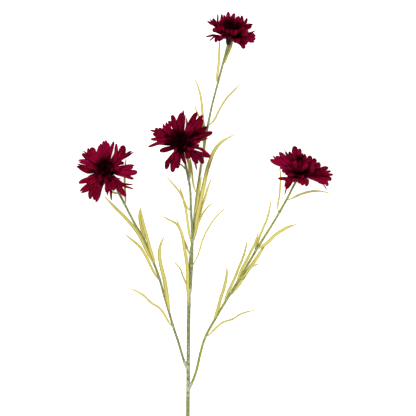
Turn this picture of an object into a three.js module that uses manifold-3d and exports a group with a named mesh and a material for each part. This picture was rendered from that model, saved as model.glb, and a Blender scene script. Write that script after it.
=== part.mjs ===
// A cut spray of four burgundy cornflowers on one branching stem, lying on its back.
// Millimetres, +Z up. Routes are drawn from the cut end of the main stem: X to the right,
// Y along the stem towards the blooms, Z above the surface that the spray lies on.

import * as THREE from "three";
import Module from "manifold-3d";

// Driving dimensions
const OUTLINE_CENTRE = [16.6, 217];
const CLEARANCE = 0.35;
const STEM = { foot: 1.9, belowFork: 1.7, aboveFork: 1.0, forkStart: 149, forkEnd: 157 };
const BRANCH = { foot: 1.15, head: 0.95, sides: 8, step: 11 };
const COLLAR = { length: 8, radius: 1.55 };
const LEAF = {
  thickness: 0.6, rootWidth: 0.6, tipWidth: 0.5, gap: 0.45, step: 8, roll: 22, twist: 24,
  swell: 0.22, taper: 3, lift: 1.4,
};
const CALYX = {
  length: 9.5, top: 3.3, neck: 1.2, relief: 0.3, sides: 14, rows: 7, swell: 0.8, neckGap: 0.7,
};
const CORE = { height: 4.6, radius: 4.1, rim: 3.3, bevel: 1.4, sides: 10 };
const PETAL = {
  thickness: 0.6, rootRadius: 2.2, rootHeight: 1.3, rootWidth: 2.2, arch: 6,
  bendAt: 0.3, bendRise: 0.8, cup: 1.9,
};
const LOBE = {
  waist: 0.4, waistShare: 0.42, notch: 0.71, shoulder: 0.62, halfShare: 0.44,
  fall: 0.28, unevenness: 0.05, splay: 1.12,
};
const INNER_RING = {
  count: 7, reach: 14, rise: 14, spread: 8.5, lobes: 3, rootRadius: 2.9, jitter: 3, turn: 0.3,
};
const DISC = { radius: 2.35, shoulder: 6.2, dome: 8.6, rim: 0.85, crown: 0.6, sides: 9 };
const TUFT = { florets: 9, tip: 12.5, stagger: 1, rootHeight: 6, rootReach: 1.35, reach: 3.4,
  shortReach: 1.9, rootSize: 0.7, tipSize: 0.25 };
const FUSE_TOLERANCE = 0.01;

const COLOURS = {
  petal: 0x7a0f2c,
  disc: 0x1d060c,
  calyx: 0x2a2522,
  stem: 0x72835a,
  leaf: 0xc4b951,
};

// Blooms: the seat on top of the calyx, the way the bloom faces, and its outer florets.
// A floret is [right, up, rise, spread, lobes]: where the middle of its lobes lies, seen from
// above and measured from the seat, how far it stands up along the bloom's axis, and its width.
const BLOOMS = {
  left: {
    seat: [-82, 276, 15.9],
    axis: [-0.25, 0.35, 0.9],
    seed: 11,
    florets: [
      [30, -2, 4, 14, 3],
      [23.5, 20, 3, 12, 3],
      [10.3, 25.2, 7, 6, 2],
      [0, 28, 2, 12, 3],
      [-19.5, 20, -1.5, 12, 4],
      [-27.5, 6, -1, 9, 3],
      [-25, -18, 3, 13, 3],
      [-12, -29, 2, 10, 3],
      [2, -24.5, 6, 9, 3],
      [23, -19.5, 1, 13, 4],
    ],
  },
  centre: {
    seat: [-7, 301, 31],
    axis: [-0.12, 0.55, 0.83],
    seed: 23,
    florets: [
      [-9, 26, 8, 8, 2],
      [1.5, 31, 6, 9, 3],
      [19, 28, 8, 11, 3],
      [28, 15, 4, 10, 3],
      [25, 5, 8, 6, 2],
      [26.5, -13.5, 2, 11, 3],
      [14, -20.5, 3, 8, 2],
      [-3.5, -19.5, 3, 8, 2],
      [-12.5, -24.5, 1, 9, 3],
      [-20, -7, 8, 9, 2],
      [-29.5, 3, 2, 11, 3],
      [-27.5, 15, 0, 9, 3],
      [-13, 21, 5, 9, 3],
    ],
  },
  top: {
    seat: [41.5, 409, 21.5],
    axis: [0.17, 0.85, 0.5],
    seed: 37,
    florets: [
      [-19, -3, 1, 11, 3],
      [-16, 5, 5, 9, 3],
      [-19, 15, 6, 8, 3],
      [-9, 20.5, 8, 10, 3],
      [2, 23, 10, 12, 4],
      [13, 19.5, 9, 11, 3],
      [22, 11.6, 5, 10, 3],
      [22.5, 5, 3, 9, 3],
      [25, -1, 2, 11, 3],
      [16.5, -8.5, -1, 9, 3],
      [-3, 14, 1, 12, 4],
      [9, 12.5, 1.5, 11, 3],
    ],
  },
  right: {
    seat: [110, 273, 21.2],
    axis: [0.22, 0.84, 0.5],
    seed: 53,
    florets: [
      [-24, 12.5, 3, 12, 3],
      [-17, 18.5, 4, 8, 2],
      [-9, 18.5, 3.8, 10, 3],
      [-3, 24, 10, 8, 2],
      [7, 16.5, 6, 11, 3],
      [18.5, 11, 3.8, 11, 3],
      [31.5, 0.5, 3, 13, 3],
      [28, -10.5, -1, 12, 3],
      [6.5, -11, 0, 12, 3],
      [-11, -13, -4, 10, 3],
      [-17.5, -4, 0, 10, 3],
      [-3, 11, 17, 10, 3],
      [8, 9, 16, 10, 3],
    ],
  },
};

// Stems: hand-laid routes, each as far as the neck under its bloom.
const STEMS = {
  main: {
    bloom: "top",
    route: [
      [0, 0, 1.76], [-0.2, 30, 1.8], [0.2, 81, 1.9], [0.3, 112, 2.1], [0.8, 149, 2.3],
      [0.2, 157, 2.4], [1.5, 176, 2.6], [2.8, 195.4, 2.9], [4.6, 208, 3.2],
      [6.6, 230.5, 3.6], [9.2, 256, 4.1], [11.6, 271, 4.5], [16.2, 299.3, 5.2],
      [19.1, 316.5, 5.8], [23.8, 339.7, 6.6], [30, 363.7, 8], [36.4, 388, 11],
    ],
  },
  left: {
    bloom: "left",
    route: [
      [-0.6, 77, 2], [-2.1, 80.4, 2.1], [-4.4, 86, 2.2], [-9.7, 104, 2.8], [-15.1, 120.2, 3.2],
      [-19.3, 135, 3.4], [-23, 147, 3.5], [-29.1, 169, 3.6], [-34.4, 183.3, 3.6],
      [-43.6, 205.5, 3.4], [-53.6, 223, 3.2], [-63.5, 242, 2.8], [-70.4, 256, 2.5],
      [-76.6, 268.2, 3.1],
    ],
  },
  centre: {
    bloom: "centre",
    route: [
      [1, 149.5, 2.7], [2.3, 156, 3.8], [3.1, 167, 4.7], [4.1, 186, 5.4], [4.2, 199, 5.9],
      [4.4, 211, 6.4], [3.7, 224, 7], [2.8, 237, 7.8], [2.2, 256, 9], [0.1, 269, 10.4],
      [-1.9, 279, 12.6], [-4.2, 290, 17.6],
    ],
  },
  right: {
    bloom: "right",
    route: [
      [0.4, 56, 2], [2, 59.5, 2.1], [5.6, 67.3, 2.3], [8.6, 76.5, 2.5], [13.2, 96.4, 3],
      [17.8, 110.2, 3.4], [27, 127, 4.1], [40.8, 150, 5], [54.4, 172.3, 6], [69.3, 198, 7.3],
      [83.8, 221, 8.8], [99, 247.5, 11.2], [105, 259.5, 13.8],
    ],
  },
};

// Leaves: the stem that each grows on, its width, the side of the stem that it leaves by (degrees
// up from level), how far its tip climbs, and its route seen from above.
const LEAVES = {
  left: [
    [3, 50, 9, [-35.2, 185], [-42, 197], [-49.7, 212.4], [-61.2, 227], [-72.7, 238.5], [-82, 248.4]],
    [3, 20, 13, [-34.4, 183.3], [-37.5, 197], [-42, 214], [-45, 228], [-46.3, 238]],
    [2.5, -5, 2, [-43.6, 206.3], [-46.2, 218.6], [-48.8, 229.3], [-49.4, 236.5]],
    [2.3, 10, 5, [-30.2, 166.5], [-34.4, 174.2], [-42, 189.5], [-48.2, 199.4], [-56, 206.3], [-63.5, 212]],
    [3.6, 55, 10, [-19.3, 136], [-20.7, 147], [-23.7, 166.5], [-27.5, 182], [-28.7, 193.3], [-27.5, 201],
      [-24.1, 209]],
    [1.8, 5, 6, [-15.1, 120.5], [-19, 123.2], [-22.7, 130], [-26.6, 136.2], [-30.4, 139.7],
      [-36.5, 143], [-43.4, 150], [-50.5, 154.6], [-58.2, 158]],
    [1.6, 0, 2, [-63.5, 242], [-62.6, 249], [-63.4, 266], [-62.5, 283], [-62, 286]],
    [1.4, 10, 2, [-69, 253.3], [-73, 253], [-77.5, 254.8]],
  ],
  top: [
    [2.2, 10, 2, [35.6, 382.5], [38.9, 388.7], [42, 394.8], [45, 401.4], [47, 404.8]],
    [2.2, 20, 7, [29.4, 363.7], [28.9, 368.2], [30.2, 377.4], [31, 385.6], [31.3, 394.3], [31.5, 403]],
    [1.8, 10, 8, [20.4, 321.6], [23.7, 322.8], [27.1, 327.4], [30.5, 334.6], [34.6, 341.7],
      [39.1, 348.3], [45.8, 355], [52.4, 362]],
    [1.5, -20, 1, [17.6, 307], [14.4, 316], [10.6, 329.5], [9, 333.6], [6.7, 340.2]],
    [2.5, 75, 12, [12.8, 276], [14.8, 288], [16.2, 300], [15.8, 316], [14.8, 328], [13.6, 343],
      [12.1, 352], [9.6, 360], [6.2, 368.2]],
    [3.5, 0, 12, [5.2, 212], [7.6, 220.3], [9.6, 230.5], [12, 243], [14.8, 256], [19.1, 275.7],
      [21.9, 284.3], [24.8, 292.4], [28.3, 298], [33, 303.3], [41, 308.4], [47.2, 312]],
    [2, -35, 2, [4.2, 204.4], [10.1, 223.4], [12, 232], [14, 240], [17, 248.3], [20.2, 259.6],
      [23.1, 266.5]],
    [2, 80, 9, [6.9, 233], [9.2, 243], [11.1, 256], [13.3, 268.3]],
    [1.3, 10, 3, [9, 254.2], [6.2, 258], [5.1, 262.5], [4.1, 273], [3, 282.6], [1.5, 290]],
  ],
  centre: [
    [2.3, 10, 3, [0.4, 267], [1.8, 273], [1.3, 281.5], [-0.5, 290]],
    [1.4, 10, 1, [-2, 277], [-5, 279.6], [-8, 282]],
    [1.5, 20, 7, [2.7, 236.2], [-1, 238.5], [-3, 243], [-5.6, 248], [-8.5, 254], [-16.5, 263.7],
      [-21.1, 269]],
    [2, -10, 1, [4.4, 203.3], [1.2, 212], [-0.1, 221], [-2.5, 238], [-5, 247.6], [-8.2, 259.4]],
    [1.4, 25, 8, [4, 181.1], [8.8, 188], [11.5, 195.6], [14.2, 205], [17.3, 212.4], [22.6, 221.6],
      [28.7, 230], [35, 236], [40.2, 240]],
    [1.6, 40, 7, [4.4, 207], [8.1, 217], [11.1, 224.7], [14.2, 231.6], [17.3, 236.2], [21.1, 240.4],
      [25.3, 243]],
  ],
  base: [
    [1.6, 0, 3, [2.6, 192.2], [-1, 198.6], [-4.2, 206.3], [-7.4, 214], [-9.3, 219], [-12.5, 223],
      [-17, 225.4], [-22, 228], [-27.2, 230.2]],
    [3, 88, 8, [0.7, 142], [-0.4, 158], [-0.4, 173], [-0.9, 179.5], [-2.1, 188.4], [-3.8, 198.6],
      [-5.5, 209], [-9.6, 221.6], [-11.9, 228]],
    [1.4, -5, 2, [0.6, 160], [-3.6, 166], [-5.5, 170.5], [-7.1, 176.3], [-10, 180], [-13.2, 184]],
  ],
  right: [
    [1.7, 0, 6, [98.4, 246.7], [103.8, 247.6], [110.5, 251], [117.7, 253.4], [124.8, 254.8],
      [132, 254.6], [139.7, 253.4]],
    [1.6, 15, 4, [91.2, 233.8], [89.6, 238], [89.7, 242.4], [91.1, 248.6], [91.8, 256], [92.1, 264.4],
      [92.3, 272.5], [91.6, 276.3]],
    [2, 0, 3, [67.6, 195.6], [68.4, 200.2], [71.6, 209.4], [75.4, 218.6], [79.2, 227.7], [81.5, 237],
      [82.7, 245.7]],
    [2.4, 30, 12, [50.4, 166.5], [53.2, 175.7], [58.6, 185.6], [63, 194.8], [67, 203.2], [70.1, 213.2]],
    [2.2, 5, 4, [37.6, 145.6], [38.7, 151.2], [42.5, 159], [47.1, 169], [50.5, 178], [54.3, 187],
      [57.4, 197], [59.3, 206.7]],
    [2.8, 30, 12, [27, 127.4], [29.8, 137.2], [32.6, 148], [36.1, 158.5], [38.6, 171], [38.9, 179.4]],
    [3, 20, 6, [69.8, 198.4], [72.6, 199], [78.5, 202.5], [86.9, 211], [92.3, 214.7], [99.1, 218.6],
      [107.6, 221.6]],
    [3, -40, -0.5, [42.4, 152], [50.4, 161], [58.8, 174], [68, 187], [74, 196.5], [78, 202]],
    [1.5, 45, 6, [51.8, 168], [57, 171], [60.9, 176.5], [65.5, 180.3], [71.2, 182.2]],
    [1.6, 5, 6, [17.8, 110.2], [21.4, 111.6], [25.5, 115.6], [30.8, 121], [36.2, 124.4], [44.6, 127],
      [52.3, 132], [59.1, 134.3], [67.6, 136.2]],
  ],
};

const LEAF_GROUPS = {
  left: { stem: "left", seed: 4 },
  top: { stem: "main", seed: 3 },
  centre: { stem: "centre", seed: 6 },
  base: { stem: "main", seed: 4 },
  right: { stem: "right", seed: 5 },
};
const UP = new THREE.Vector3(0, 0, 1);

const wasm = await Module();
wasm.setup();

// Repeatable random numbers from 0 to 1
function drawFrom(seed) {
  let state = seed * 7919 + 17;
  return () => {
    state = (state * 16807) % 2147483647;
    return state / 2147483647;
  };
}

function geometryOf(points, triangles) {
  const geometry = new THREE.BufferGeometry();
  const numbers = points.flatMap((point) => [point.x, point.y, point.z]);
  geometry.setAttribute("position", new THREE.Float32BufferAttribute(numbers, 3));
  geometry.setIndex(triangles.flat());
  geometry.computeVertexNormals();
  return geometry;
}

// A closed skin over rings of equal count, with a flat cap on the first and the last.
function skin(rings) {
  const sides = rings[0].length;
  const last = (rings.length - 1) * sides;
  const triangles = [];
  for (let row = 0; row < rings.length - 1; row++) {
    for (let side = 0; side < sides; side++) {
      const here = row * sides + side;
      const beside = row * sides + ((side + 1) % sides);
      triangles.push([here, beside, beside + sides], [here, beside + sides, here + sides]);
    }
  }
  for (let side = 1; side < sides - 1; side++) {
    triangles.push([0, side + 1, side], [last, last + side, last + side + 1]);
  }
  return geometryOf(rings.flat(), triangles);
}

// A blade of even thickness round a middle surface, split into triangles alike on both faces.
function blade(points, triangles, thickness) {
  const count = points.length;
  const normals = points.map(() => new THREE.Vector3());
  const edges = new Set();
  for (const [a, b, c] of triangles) {
    const facing = new THREE.Vector3().subVectors(points[b], points[a]);
    facing.cross(new THREE.Vector3().subVectors(points[c], points[a]));
    [a, b, c].forEach((corner) => normals[corner].add(facing));
    edges.add(`${a} ${b}`).add(`${b} ${c}`).add(`${c} ${a}`);
  }
  normals.forEach((normal) => normal.setLength(thickness / 2));
  const front = points.map((point, i) => point.clone().add(normals[i]));
  const back = points.map((point, i) => point.clone().sub(normals[i]));
  const skinTriangles = triangles.flatMap(([a, b, c]) => [[a, b, c], [c + count, b + count, a + count]]);
  for (const edge of edges) {
    const [a, b] = edge.split(" ").map(Number);
    if (!edges.has(`${b} ${a}`)) {
      skinTriangles.push([b, a, a + count], [b, a + count, b + count]);
    }
  }
  return geometryOf([...front, ...back], skinTriangles);
}

function solidOf(geometry) {
  const vertProperties = geometry.attributes.position.array;
  const triVerts = new Uint32Array(geometry.index.array);
  return new wasm.Manifold(new wasm.Mesh({ numProp: 3, vertProperties, triVerts }));
}

// One body out of overlapping ones. Scraps and sealed pockets are left out.
function fuse(geometries) {
  const joined = geometries.map(solidOf).reduce((whole, piece) => whole.add(piece));
  const bodies = joined.simplify(FUSE_TOLERANCE).decompose();
  const body = bodies.reduce((best, next) => (next.volume() > best.volume() ? next : best));
  const { vertProperties, triVerts } = body.getMesh();
  const geometry = new THREE.BufferGeometry();
  geometry.setAttribute("position", new THREE.BufferAttribute(vertProperties, 3));
  geometry.setIndex(new THREE.BufferAttribute(triVerts, 1));
  geometry.computeVertexNormals();
  return geometry;
}

function finish(colour, roughness) {
  return new THREE.MeshStandardMaterial({ color: colour, roughness, metalness: 0, flatShading: true });
}

const FINISHES = {
  petal: finish(COLOURS.petal, 0.85),
  disc: finish(COLOURS.disc, 0.9),
  calyx: finish(COLOURS.calyx, 0.7),
  stem: finish(COLOURS.stem, 0.6),
  leaf: finish(COLOURS.leaf, 0.6),
};

function piece(name, geometry, material) {
  const mesh = new THREE.Mesh(geometry, material);
  mesh.name = name;
  return mesh;
}

// Stems

function stemCurve({ bloom, route }) {
  const { seat, axis } = BLOOMS[bloom];
  const below = CALYX.length + CALYX.neckGap;
  const neck = new THREE.Vector3(...seat).sub(new THREE.Vector3(...axis).setLength(below));
  const points = route.map((point) => new THREE.Vector3(...point));
  return new THREE.CatmullRomCurve3([...points, neck]);
}

function mainRadius(point) {
  const { foot, belowFork, aboveFork, forkStart, forkEnd } = STEM;
  if (point.y < forkStart) {
    return THREE.MathUtils.mapLinear(point.y, 0, forkStart, foot, belowFork);
  }
  return THREE.MathUtils.mapLinear(Math.min(point.y, forkEnd), forkStart, forkEnd, belowFork, aboveFork);
}

// A round stem along part of a curve, its flats level with the ground.
function roundStem(curve, from, to, radiusAt) {
  const steps = Math.max(1, Math.round(((to - from) * curve.getLength()) / BRANCH.step));
  const rings = [];
  for (let step = 0; step <= steps; step++) {
    const along = from + ((to - from) * step) / steps;
    const centre = curve.getPointAt(along);
    const forward = curve.getTangentAt(along);
    const across = new THREE.Vector3().crossVectors(forward, UP).normalize();
    const above = new THREE.Vector3().crossVectors(across, forward);
    const radius = radiusAt(centre, along);
    rings.push(
      Array.from({ length: BRANCH.sides }, (_, side) => {
        const angle = ((side + 0.5) * 2 * Math.PI) / BRANCH.sides;
        const outward = above.clone().multiplyScalar(Math.cos(angle));
        outward.addScaledVector(across, Math.sin(angle));
        return outward.multiplyScalar(radius).add(centre);
      }),
    );
  }
  return skin(rings);
}

const curves = Object.fromEntries(Object.entries(STEMS).map(([name, stem]) => [name, stemCurve(stem)]));

function branchRadius(_, along) {
  return THREE.MathUtils.lerp(BRANCH.foot, BRANCH.head, along);
}

function mainStem() {
  const collars = ["left", "centre", "right"].map((name) => {
    return roundStem(curves[name], 0, COLLAR.length / curves[name].getLength(), () => COLLAR.radius);
  });
  return fuse([roundStem(curves.main, 0, 1, mainRadius), ...collars]);
}

function branch(name) {
  const start = (COLLAR.length + CLEARANCE) / curves[name].getLength();
  return roundStem(curves[name], start, 1, branchRadius);
}

// Leaves

function stemRadiusAt(name, point, along) {
  return name === "main" ? mainRadius(point) : branchRadius(point, along);
}

// The place on a stem nearest to a point seen from above.
function nearestOn(curve, [x, y]) {
  const samples = 600;
  let best = { distance: Infinity };
  for (let sample = 0; sample <= samples; sample++) {
    const along = sample / samples;
    const point = curve.getPointAt(along);
    const distance = Math.hypot(point.x - x, point.y - y);
    if (distance < best.distance) {
      best = { along, point, distance };
    }
  }
  return best;
}

// A narrow strap leaf: rooted on the stem's surface, folded to a shallow channel, pointed at its tip.
function leaf(stemName, [width, side, climb, ...route], draw) {
  const curve = curves[stemName];
  const { along, point: onStem } = nearestOn(curve, route[0]);
  const forward = curve.getTangentAt(along);
  const away = new THREE.Vector3(route[1][0] - onStem.x, route[1][1] - onStem.y, 0);
  away.addScaledVector(forward, -away.dot(forward));
  const level = new THREE.Vector3(away.x, away.y, 0).normalize();
  const lean = THREE.MathUtils.degToRad(side);
  const outward = level.multiplyScalar(Math.cos(lean)).addScaledVector(UP, Math.sin(lean));
  const seat = stemRadiusAt(stemName, onStem, along) + LEAF.gap + LEAF.thickness / 2;
  const root = onStem.clone().addScaledVector(outward, seat);
  const plan = new THREE.CatmullRomCurve3([
    new THREE.Vector3(root.x, root.y, 0),
    ...route.slice(1).map(([x, y]) => new THREE.Vector3(x, y, 0)),
  ]);
  const roll = THREE.MathUtils.degToRad(LEAF.roll * (2 * draw() - 1));
  const twist = THREE.MathUtils.degToRad(LEAF.twist * (2 * draw() - 1));
  const rows = Math.max(3, Math.round(plan.getLength() / LEAF.step));
  const points = [];
  const triangles = [];
  for (let row = 0; row <= rows; row++) {
    const t = row / rows;
    const centre = plan.getPointAt(t);
    centre.z = root.z + climb * t ** LEAF.lift;
    const tangent = plan.getTangentAt(t);
    const across = new THREE.Vector3().crossVectors(tangent, UP).normalize();
    across.applyAxisAngle(tangent, roll + twist * t);
    const full = Math.min(1, t / LEAF.swell) * (1 - t ** LEAF.taper) * width;
    const half = Math.max(full, THREE.MathUtils.lerp(LEAF.rootWidth, LEAF.tipWidth, t)) / 2;
    points.push(centre.clone().addScaledVector(across, -half), centre.clone().addScaledVector(across, half));
    if (row > 0) {
      const [left, right, leftBefore, rightBefore] = [row * 2, row * 2 + 1, row * 2 - 2, row * 2 - 1];
      triangles.push([leftBefore, rightBefore, right], [leftBefore, right, left]);
    }
  }
  return blade(points, triangles, LEAF.thickness);
}

// Blooms: modelled about +Z, with the seat on the calyx at the origin

// Where a floret's middle line runs out of the core, arches over and ends at its lobes.
function floretSurface({ azimuth, reach, rise, spread, rootRadius }) {
  const outward = new THREE.Vector3(Math.cos(azimuth), Math.sin(azimuth), 0);
  const sideways = new THREE.Vector3(-Math.sin(azimuth), Math.cos(azimuth), 0);
  const line = new THREE.QuadraticBezierCurve(
    new THREE.Vector2(rootRadius, PETAL.rootHeight),
    new THREE.Vector2(
      THREE.MathUtils.lerp(rootRadius, reach, PETAL.bendAt),
      Math.max(rise, 0) * PETAL.bendRise + PETAL.arch,
    ),
    new THREE.Vector2(reach, rise),
  );
  return (t, x) => {
    const middle = line.getPoint(t);
    const direction = line.getTangent(Math.min(t, 1));
    const cup = PETAL.cup * Math.min(t, 1) * ((2 * x) / spread) ** 2;
    const radial = middle.x - direction.y * cup;
    const height = middle.y + direction.x * cup;
    return outward.clone().multiplyScalar(radial).addScaledVector(sideways, x).addScaledVector(UP, height);
  };
}

// A fan-shaped floret with pointed lobes.
function floret(shape, draw) {
  const { spread, lobes } = shape;
  const surface = floretSurface(shape);
  const points = [];
  const triangles = [];
  const row = (t, width, count) =>
    Array.from({ length: count }, (_, i) => points.push(surface(t, width * (i / (count - 1) - 0.5))) - 1);
  const zip = (low, high) => {
    let [i, j] = [0, 0];
    while (i < low.length - 1 || j < high.length - 1) {
      const lowFirst = (i + 1) / (low.length - 1) <= (j + 1) / (high.length - 1);
      if (j === high.length - 1 || (i < low.length - 1 && lowFirst)) {
        triangles.push([low[i], low[++i], high[j]]);
      } else {
        triangles.push([low[i], high[j + 1], high[j++]]);
      }
    }
  };
  const root = row(0, PETAL.rootWidth, 2);
  const waist = row(LOBE.waist, PETAL.rootWidth + LOBE.waistShare * spread, 3);
  const notches = row(LOBE.notch, spread, lobes + 1);
  zip(root, waist);
  zip(waist, notches);
  const gap = spread / lobes;
  for (let lobe = 0; lobe < lobes; lobe++) {
    const offset = (lobe + 0.5) / lobes - 0.5;
    const length = 1 - LOBE.fall * offset ** 2 + LOBE.unevenness * (2 * draw() - 1);
    const middle = spread * offset * LOBE.splay;
    const shoulder = LOBE.notch + LOBE.shoulder * (length - LOBE.notch);
    const half = LOBE.halfShare * gap;
    const left = points.push(surface(shoulder, middle - half)) - 1;
    const right = points.push(surface(shoulder, middle + half)) - 1;
    const tip = points.push(surface(length, middle)) - 1;
    const [before, after] = [notches[lobe], notches[lobe + 1]];
    triangles.push([before, after, right], [before, right, left], [left, right, tip]);
  }
  return blade(points, triangles, PETAL.thickness);
}

function turned(profile, sides, shift = 0) {
  return skin(
    profile.map(([radius, height], row) =>
      Array.from({ length: sides }, (_, side) => {
        const angle = ((side + shift * row) * 2 * Math.PI) / sides;
        return new THREE.Vector3(radius * Math.cos(angle), radius * Math.sin(angle), height);
      }),
    ),
  );
}

// Outer florets as listed, turned into the bloom's own frame, and an even inner ring of shorter ones.
function petals({ seat, axis, florets }, upright, draw) {
  const facing = new THREE.Vector3(...axis).normalize();
  const outer = florets.map(([right, up, rise, spread, lobes]) => {
    const x = right - rise * facing.x;
    const y = up - rise * facing.y;
    const across = new THREE.Vector3(x, y, -(x * facing.x + y * facing.y) / facing.z);
    across.applyQuaternion(upright);
    const azimuth = Math.atan2(across.y, across.x);
    return { azimuth, reach: across.length(), rise, spread, lobes, rootRadius: PETAL.rootRadius };
  });
  const inner = Array.from({ length: INNER_RING.count }, (_, i) => ({
    azimuth: ((i + INNER_RING.turn * draw()) * 2 * Math.PI) / INNER_RING.count,
    reach: INNER_RING.reach + INNER_RING.jitter * (draw() - 0.5),
    rise: INNER_RING.rise + INNER_RING.jitter * (draw() - 0.5),
    spread: INNER_RING.spread,
    lobes: INNER_RING.lobes,
    rootRadius: INNER_RING.rootRadius,
  }));
  const { height, radius, rim, bevel, sides } = CORE;
  const core = turned([[rim, 0], [radius, bevel], [radius, height - bevel], [rim, height]], sides);
  return fuse([core, ...[...outer, ...inner].map((shape) => floret(shape, draw))]);
}

// The dark middle: a low dome with a tuft of closed florets.
function disc() {
  const { radius, shoulder, dome, rim, crown, sides } = DISC;
  const tuft = Array.from({ length: TUFT.florets }, (_, i) => {
    const angle = (i * 2 * Math.PI) / TUFT.florets;
    const outerRow = i % 2 === 1;
    const ends = [
      [TUFT.rootSize, TUFT.rootHeight, TUFT.rootReach],
      [
        TUFT.tipSize,
        outerRow ? TUFT.tip - TUFT.stagger : TUFT.tip,
        outerRow ? TUFT.reach : TUFT.shortReach,
      ],
    ];
    return skin(
      ends.map(([size, height, reach]) =>
        [0, 1, 2].map((corner) => {
          const turn = (corner * 2 * Math.PI) / 3;
          const x = reach * Math.cos(angle) + size * Math.cos(turn);
          const y = reach * Math.sin(angle) + size * Math.sin(turn);
          return new THREE.Vector3(x, y, height);
        }),
      ),
    );
  });
  const base = CORE.height + CLEARANCE;
  const mound = turned([[rim * radius, base], [radius, shoulder], [crown * radius, dome]], sides);
  return fuse([mound, ...tuft]);
}

// The cup of scales under a bloom: scale tips stand out in a diamond pattern.
function calyx() {
  const { length, top, neck, relief, sides, rows, swell } = CALYX;
  const profile = Array.from({ length: rows + 1 }, (_, row) => {
    const t = row / rows;
    const cone = neck + (top - neck) * t ** swell;
    const bulge = row % 2 && row < rows ? relief : 0;
    return [cone + bulge, -length + t * (length - CLEARANCE)];
  });
  return turned(profile, sides, 0.5);
}

function bloom(name) {
  const { seat, axis, seed } = BLOOMS[name];
  const draw = drawFrom(seed);
  const group = new THREE.Group();
  group.position.set(...seat);
  group.quaternion.setFromUnitVectors(UP, new THREE.Vector3(...axis).normalize());
  const upright = group.quaternion.clone().invert();
  group.add(
    piece(`petals_${name}`, petals(BLOOMS[name], upright, draw), FINISHES.petal),
    piece(`disc_${name}`, disc(), FINISHES.disc),
    piece(`calyx_${name}`, calyx(), FINISHES.calyx),
  );
  return group;
}

const spray = new THREE.Group();
spray.position.set(-OUTLINE_CENTRE[0], -OUTLINE_CENTRE[1], 0);
spray.add(piece("stem_main", mainStem(), FINISHES.stem));
for (const name of ["left", "centre", "right"]) {
  spray.add(piece(`branch_${name}`, branch(name), FINISHES.stem));
}
for (const name of Object.keys(BLOOMS)) {
  spray.add(bloom(name));
}
for (const [group, { stem, seed }] of Object.entries(LEAF_GROUPS)) {
  const draw = drawFrom(seed);
  LEAVES[group].forEach((shape, i) => {
    spray.add(piece(`leaf_${group}_${i + 1}`, leaf(stem, shape, draw), FINISHES.leaf));
  });
}

export default spray;
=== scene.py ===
"""The looks of a cut cornflower spray: four burgundy cloth blooms on one branching stem, lying on its back.

Tables of places are in millimetres. Routes are drawn from the cut end of the main stem, as X to the
right, Y along the stem towards the blooms and Z above the surface.
"""

import math

import bpy
import numpy as np
from bpy.props import FloatProperty, FloatVectorProperty, IntProperty, PointerProperty
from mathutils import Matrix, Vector


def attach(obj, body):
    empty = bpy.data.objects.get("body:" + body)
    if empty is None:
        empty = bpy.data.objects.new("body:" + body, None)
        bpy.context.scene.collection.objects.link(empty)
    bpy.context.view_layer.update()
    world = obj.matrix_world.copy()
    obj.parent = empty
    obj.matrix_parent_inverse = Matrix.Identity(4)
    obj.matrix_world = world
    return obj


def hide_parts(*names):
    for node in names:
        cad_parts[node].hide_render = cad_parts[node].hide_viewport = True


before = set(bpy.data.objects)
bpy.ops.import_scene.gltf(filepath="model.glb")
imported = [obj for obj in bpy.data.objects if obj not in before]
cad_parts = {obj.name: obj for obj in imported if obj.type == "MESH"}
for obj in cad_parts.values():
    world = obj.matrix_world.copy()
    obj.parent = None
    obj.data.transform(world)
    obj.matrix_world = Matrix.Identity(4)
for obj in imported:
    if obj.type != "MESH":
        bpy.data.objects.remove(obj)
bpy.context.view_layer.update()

bl_info = {
    "name": "Cornflower Spray",
    "version": (1, 0, 0),
    "blender": (4, 5, 0),
    "location": "View3D > Sidebar > Cornflower",
    "description": "Petals, middles, calyxes, stems and leaves of a cut cornflower spray",
    "category": "Add Mesh",
}

MM = 0.001
UP = Vector((0, 0, 1))
OUTLINE_CENTRE = (16.6, 217)

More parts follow.
